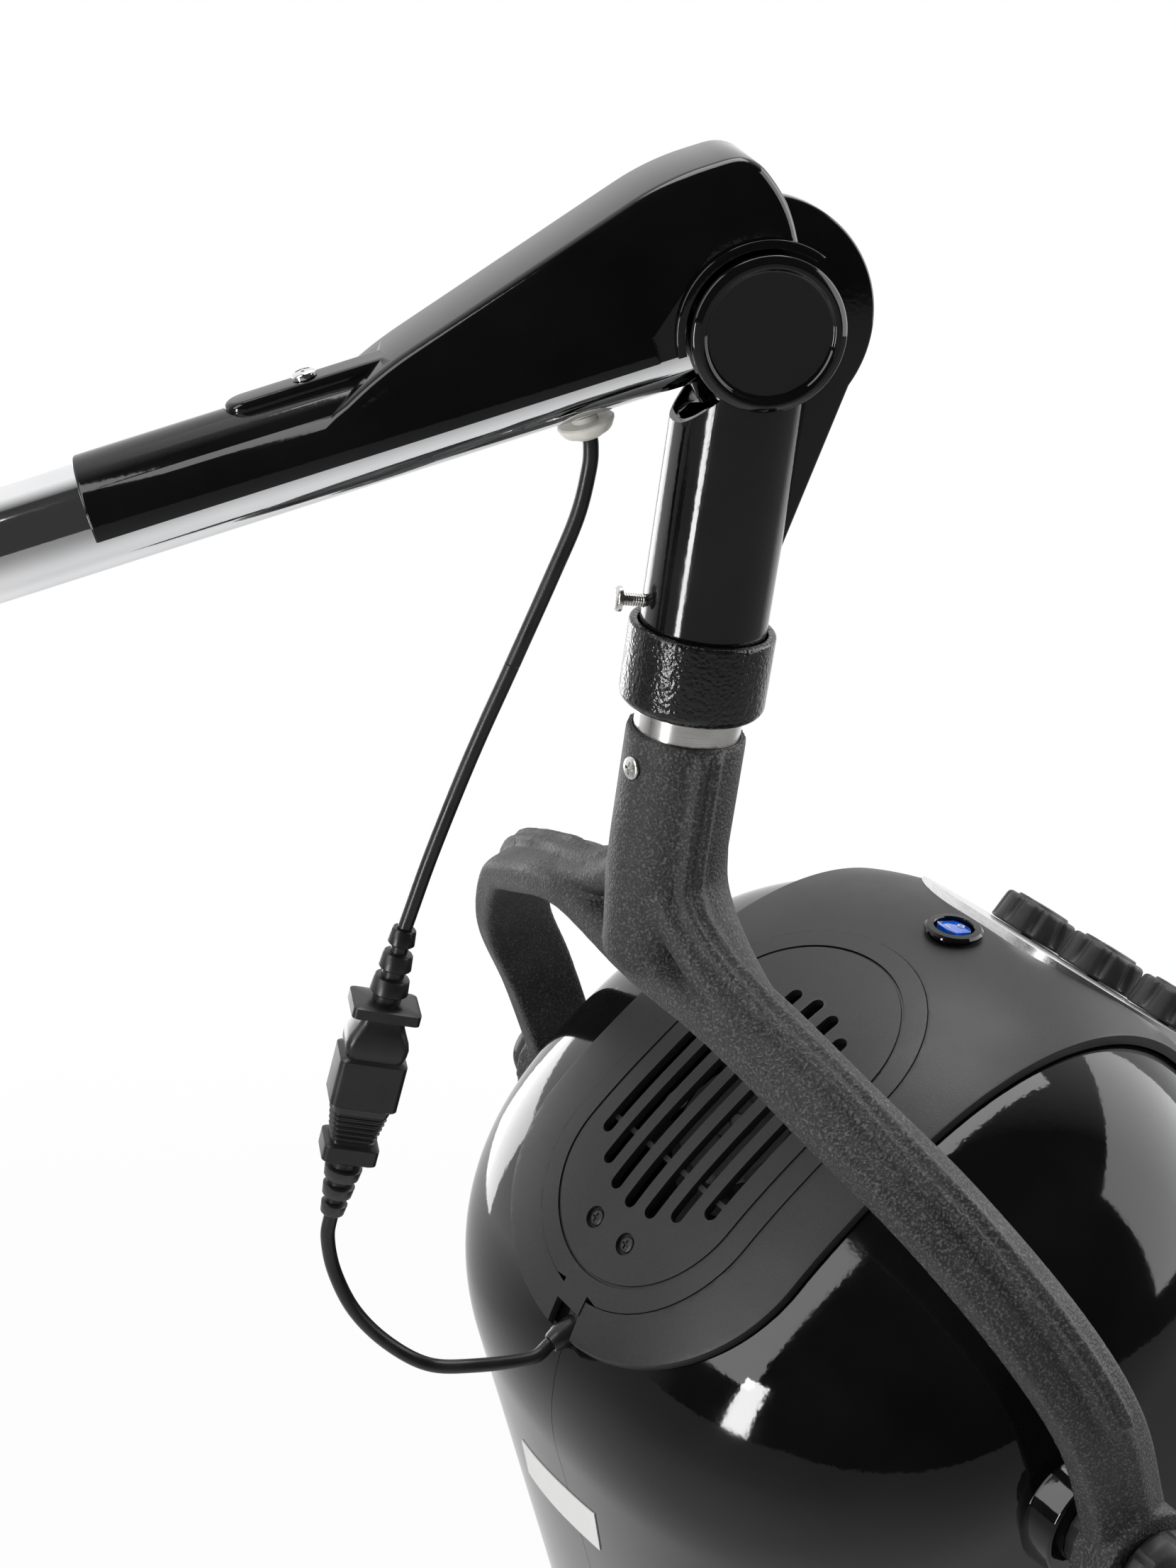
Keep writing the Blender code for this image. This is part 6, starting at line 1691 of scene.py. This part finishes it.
def rocker_lens():
    r = ROCKER_R
    side = [
        (-r, 3.6 * MM), (-0.5 * r, 2.3 * MM), (0, 1.6 * MM), (0.5 * r, 0.85 * MM), (0.97 * r, 0.4 * MM),
        (0.5 * r, -5 * MM), (-0.5 * r, -5 * MM)]
    body = moved(plate([side], 1.6 * r), UPRIGHT)
    body = solid_with(body, [rod(r, 60 * MM, 96)], "INTERSECT")
    body = softened(body, 0.5 * MM, 3, 24)
    where = HOOD @ SWITCH @ shift(0, 0, 1.6 * MM)
    piece("rocker_lens", body, where, "blue_lens", "rocker_body", ("rocker",), sharp=30)
    mark = spun(ring(1.15 * MM, 1.65 * MM, -0.2 * MM, 0.2 * MM), 40, True)
    mark = moved(mark, Matrix.Rotation(radians(10), 4, "Y"))
    ring_at = where @ shift(4.2 * MM, 0, 1.0 * MM)
    piece("rocker_ring_mark", mark, ring_at, "white_label", "rocker_body")
    bar = moved(block(0.6 * MM, 3.2 * MM, 0.4 * MM, 0.1 * MM), Matrix.Rotation(radians(16), 4, "Y"))
    bar_at = where @ shift(-4.2 * MM, 0, 2.55 * MM)
    piece("rocker_bar_mark", bar, bar_at, "white_label", "rocker_body")


switch_bezel()
rocker_lens()
print("switch bezel and lens made")

# %% [markdown]
# Screws are small, but a bare disc gives a model away. Their pan heads are spun from a curve, and
# the cross is cut with two blades. The thread of the long set screw at the collar could be a true
# helix, but close rings look the same at this size.

# %% Screws
THREAD_PITCH = 0.9 * MM
TO_WALL = along((-1, 0, 0))


def pan_head(radius, tall, shank_r, shank_long, cross=True):
    angles = (pi / 2 * i / 8 for i in range(9))
    dome = [(radius * sin(a), tall * (0.35 + 0.65 * cos(a))) for a in angles]
    turns = max(2, int(shank_long / THREAD_PITCH))
    thread = []
    for i in range(turns):
        z = -shank_long * i / turns
        crest = z - 0.3 * shank_long / turns
        root = z - 0.6 * shank_long / turns
        thread += [(shank_r, z), (shank_r, crest), (0.86 * shank_r, root)]
    body = spun([*dome, (radius, 0), *thread, (0, -shank_long)], 64)
    if cross:
        blade = moved(block(1.15 * radius, 0.24 * radius, 1.1 * tall), shift(0, 0, tall))
        other = moved(block(0.24 * radius, 1.15 * radius, 1.1 * tall), shift(0, 0, tall))
        body = solid_with(body, [blade, other])
    return body


def screw(name, where, look, body, sizes, cross=True):
    mesh = pan_head(*[v * MM for v in sizes], cross)
    return piece(name + "_cut", mesh, where, look, body, (name,), sharp=30)


screw("cover_screw", ARM @ shift(COVER_SCREW_U, 0, ARM_OFFSET + SLEEVE_R + 2.8 * MM),
      "chrome", "arm_body", (4.6, 3, 2.2, 4.9))
screw("neck_screw", FORK @ shift(-NECK_R - FIT, 0, NECK_SCREW_Z) @ TO_WALL,
      "bright_steel", "fork_body", (4.6, 1.6, 2, 5.9))
screw("swivel_set_screw", DROP @ shift(-TUBE_R - 9 * MM, 0, SET_SCREW_Z) @ TO_WALL,
      "bright_steel", "drop_body", (5, 3, 2.5, 14.3), False)
for number, (x, y) in enumerate(LID_SCREWS, 1):
    screw(f"lid_screw_{number}", HOOD @ on_crown(x, y, SEAT) @ shift(0, 0, 2 * MM + FIT),
          "powder_black", "hood_body", (3.6, 1.6, 1.7, 2))
print("5 screws cut")

# %% [markdown]
# The blank label on the back of the hood is paper under film. Painted into the shell's finish it
# would need a map, so it is a patch of the hood's own surface, less than half a millimetre thick,
# and bends with the shell.

# %% Label
LABEL_ROWS = 12
LABEL_COLUMNS = 24
LABEL_EDGE = 165.6
LABEL_TURN = 21.6
LABEL_LEAN = 1.5
LABEL_TOP = 0.955
LABEL_RISE = 0.053
LABEL_TALL = 0.15


def label_point(i, j, grow):
    down = j / LABEL_ROWS
    theta = LABEL_EDGE - LABEL_LEAN * down + LABEL_TURN * i / LABEL_COLUMNS
    drop = LABEL_TOP - LABEL_RISE * i / LABEL_COLUMNS + LABEL_TALL * down
    return dome_point(radians(theta), drop, grow)


def shell_label():
    grids = []
    for grow in (0.05 * MM, 0.5 * MM):
        rows = []
        for j in range(LABEL_ROWS + 1):
            rows.append([label_point(i, j, grow) for i in range(LABEL_COLUMNS + 1)])
        grids.append(rows)
    return piece("shell_label", slab(*grids), HOOD, "white_label", "hood_body")


shell_label()
print("label laid on the shell")

# %% [markdown]
# Inside, the sitter looks up at a bowl with rows of air holes, and a trim ring closes the gap at
# the mouth. A squashed sphere would not follow the hood, so both are drawn from the hood's formula,
# set inwards, with round holes cut through.

# %% Bowl and rim
LINER_GAP = 32 * MM
LINER_RISE = 47 * MM
LINER_WALL = 2 * MM
RIM_THICK = 5 * MM
RIM_STEPS = 144
HEATER_R = 52 * MM
BOWL_HOLE_R = 7.6 * MM
BOWL_HOLES = ((0.46, 6), (0.68, 8), (0.9, 10))


def liner_point(theta, drop, out=0.0):
    p = dome_point(theta, drop, out - LINER_GAP)
    if drop <= 1:
        p.z = DOME_Z + (p.z - DOME_Z) * (LINER_RISE + out) / (DOME_RISE + out - LINER_GAP)
    return p


def bowl():
    around = 120
    drops = [0.08 + 0.92 * i / 36 for i in range(37)] + [1 + i / 20 for i in range(1, 21)]
    turns = [2 * pi * i / around for i in range(around + 1)]
    low = [[liner_point(theta, drop) for theta in turns] for drop in drops]
    high = [[liner_point(theta, drop, LINER_WALL) for theta in turns] for drop in drops]
    body = slab(low, high)
    holes = []
    for drop, count in BOWL_HOLES:
        for i in range(count):
            at = liner_point(2 * pi * (i + 0.5) / count, drop)
            out = at - Vector((DOME_X, 0, DOME_Z - 20 * MM))
            holes.append(moved(rod(BOWL_HOLE_R, 20 * MM, 36), along(out), Matrix.Translation(at)))
    holes.append(moved(rod(HEATER_R - 18 * MM, 60 * MM, 96), shift(DOME_X, 0, DOME_Z + LINER_RISE)))
    body = solid_with(body, holes)
    return piece("bowl_perforated", body, HOOD, "liner_grey", "hood_body", ("liner",), sharp=40)


def rim_trim():
    rings = []
    drop = Vector((0, 0, -RIM_THICK))
    for i in range(RIM_STEPS):
        theta = 2 * pi * i / RIM_STEPS
        outer = dome_point(theta, 2.0, 0.0) + Vector((0, 0, -FIT))
        inner = outer + (liner_point(theta, 2.0) + Vector((0, 0, -FIT)) - outer) * 0.97
        in_way = inner - outer
        rings.append([
            outer, outer + drop * 0.4 + in_way * 0.01, outer + drop * 0.75 + in_way * 0.04,
            outer + drop + in_way * 0.13, inner + drop - in_way * 0.13,
            inner + drop * 0.75 - in_way * 0.03, inner + drop * 0.4, inner])
    return piece("rim_trim", loft(rings, True), HOOD, "matte_black", "hood_body", ("rim_ring",), sharp=40)


print("bowl:", len(bowl().data.polygons), "faces; rim:", len(rim_trim().data.polygons), "faces")

# %% [markdown]
# Each pivot has a hand knob that clamps the tilt, fluted so that a wet hand can turn it. A star
# given thickness would have flat flanks, so the flutes are scooped out of a spun blank, and their
# edges are broken with a bevel.

# %% Tilt knobs
HUB_HEAD = HUB_IN + HUB_THICK + FIT
SCOOP_COUNT = 8
SCOOP_R = 3 * MM
SCOOP_OUT = 20.5 * MM


def tilt_knob(name, side):
    head = HUB_HEAD / MM
    top = head + 16
    profile = [
        (0, top - 0.6), (8, top - 0.5), (9, top), (13, top), (17, top - 2.6), (19, top - 8),
        (19, head + 3), (15, head), (5.3, head), (5.3, head + 10.3), (0, head + 10.3)]
    blank = spun(eased([(r * MM, z * MM) for r, z in profile], 1.4 * MM, 4), 144)
    scoops = []
    for i in range(SCOOP_COUNT):
        a = 2 * pi / SCOOP_COUNT * i
        at = shift(SCOOP_OUT * cos(a), SCOOP_OUT * sin(a), (head + 8) * MM)
        scoops.append(moved(rod(SCOOP_R, 30 * MM, 40), at))
    body = softened(solid_with(blank, scoops), 0.7 * MM, 3, 36)
    turn = ALONG_Y if side > 0 else UPRIGHT
    where = FORK @ shift(PIVOT_X, 0, PIVOT_Z) @ turn
    return piece(name + "_fluted", body, where, "matte_black", name + "_body", (name,), sharp=40)


tilt_knob("tilt_knob_right", -1)
tilt_knob("tilt_knob_left", 1)
print("tilt knobs fluted")

# %% [markdown]
# Where the lead leaves the arm there is a white nylon bush, saddled to the tube, and a rubber gland
# takes it into the hood. A plain ring would stand off the round tube, so the bush is spun and then
# cut by the tube that it sits on.

# %% Bush and gland
def cord_bush():
    bore = CORD_R / MM + 0.3
    profile = [
        (bore, 2), (5, 2), (5, -1.6), (10.4, -1.6), (11, -2.2), (10.9, -3), (9.4, -5.6), (8.6, -6.3),
        (6, -7.4), (5.2, -8), (bore + 0.5, -8), (bore, -7.5)]
    body = spun([(r * MM, z * MM) for r, z in profile], 96, True)
    body = moved(body, shift(GROMMET_U, 0, ARM_OFFSET - ARM_R - FIT))
    saddle = moved(rod(ARM_R + FIT, 80 * MM, 128), ALONG_X, shift(GROMMET_U, 0, ARM_OFFSET))
    body = solid_with(body, [saddle])
    return piece("cord_bush", body, ARM, "white_nylon", "arm_body", ("cord_grommet",), sharp=40)


def gland_bush():
    bore = CORD_R / MM + 0.3
    profile = [(bore, 7), (5.6, 7), (5.6, -4.6), (5.2, -5.6), (4.6, -8), (4.1, -9), (bore, -9)]
    body = spun([(r * MM, z * MM) for r, z in profile], 64, True)
    return piece("gland_rubber", body, HOOD @ GLAND, "cord_black", "hood_body", ("cord_gland",), sharp=40)


cord_bush()
gland_bush()
print("bush and gland made")

# %% [markdown]
# Brackets, castings and the works inside already have the right form in the frame. They could be
# drawn again, but only their edges are wrong, because real castings have no knife edges. So each of
# these solids is copied with its edges broken.

# %% Castings and the works
BROKEN = {
    "wall_plate": ("powder_black", "wall_body", 1.2), "wall_socket": ("powder_black", "wall_body", 1.0),
    "arm_root": ("powder_black", "arm_body", 1.0), "spindle_washer": ("bright_steel", "arm_body", 0.4),
    "spindle_nut": ("bright_steel", "arm_body", 0.8), "root_set_screw": ("bright_steel", "arm_body", 0.4),
    "fork_end": ("bright_steel", "arm_body", 0.6), "spring_lug": ("bright_steel", "arm_body", 0.4),
    "elbow_axle": ("bright_steel", "drop_body", 0.5), "motor_mount": ("powder_black", "hood_body", 0.5),
    "motor": ("powder_black", "hood_body", 0.6), "heater_frame": ("satin_silver", "hood_body", 0.4),
    "timer": ("liner_grey", "hood_body", 0.8), "heat_control": ("liner_grey", "hood_body", 0.8),
    "speed_control": ("liner_grey", "hood_body", 0.8), "fan": ("liner_grey", "fan_body", 0.4),
}


def broken_edges(node, look, body, width):
    mesh = softened(NODES[node].data.copy(), width * MM, 3, 34)
    return piece(node + "_cast", mesh, Matrix.Identity(4), look, body, (node,), sharp=34)


CASTINGS = [broken_edges(node, *how) for node, how in BROKEN.items()]
print("edges broken:", sum(len(one.data.polygons) for one in CASTINGS), "faces")

# %% [markdown]
# The balance spring under the cover hooks onto the lever, so one end stays with the arm and the
# other follows the tube. On one body alone it would leave the other's hook; here the frame's coil is
# copied as it is, on no body, and the distance between its hooks is printed.

# %% Balance spring
def balance_coil():
    mesh = NODES["balance_spring"].data.copy()
    made = piece("balance_coil", mesh, Matrix.Identity(4), "bright_steel", None, ("balance_spring",))
    points = [v.co for v in made.data.vertices]
    root = min(points, key=lambda p: p.x)
    hook = max(points, key=lambda p: p.x)
    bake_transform(made)
    return (hook - root).length


print(f"balance spring: {1000 * balance_coil():.0f} mm between its hooks")

# %% [markdown]
# The washers, bushes, bolts and coil stay as they are in the frame, because turned parts gain
# nothing from a second drawing. They only take a finish. The friction washers are dark fibre, so
# they take that of the lead.

# %% Finishes for the solids that stay
for name, obj in NODES.items():
    look = obj.material_slots[0].material.name.split(".")[0]
    if name.startswith("friction_washer"):
        look = "cord_black"
    for one in obj.material_slots:
        one.material = LOOKS.get(look, LOOKS["matte_black"])
print("finishes on", len(NODES), "solids")
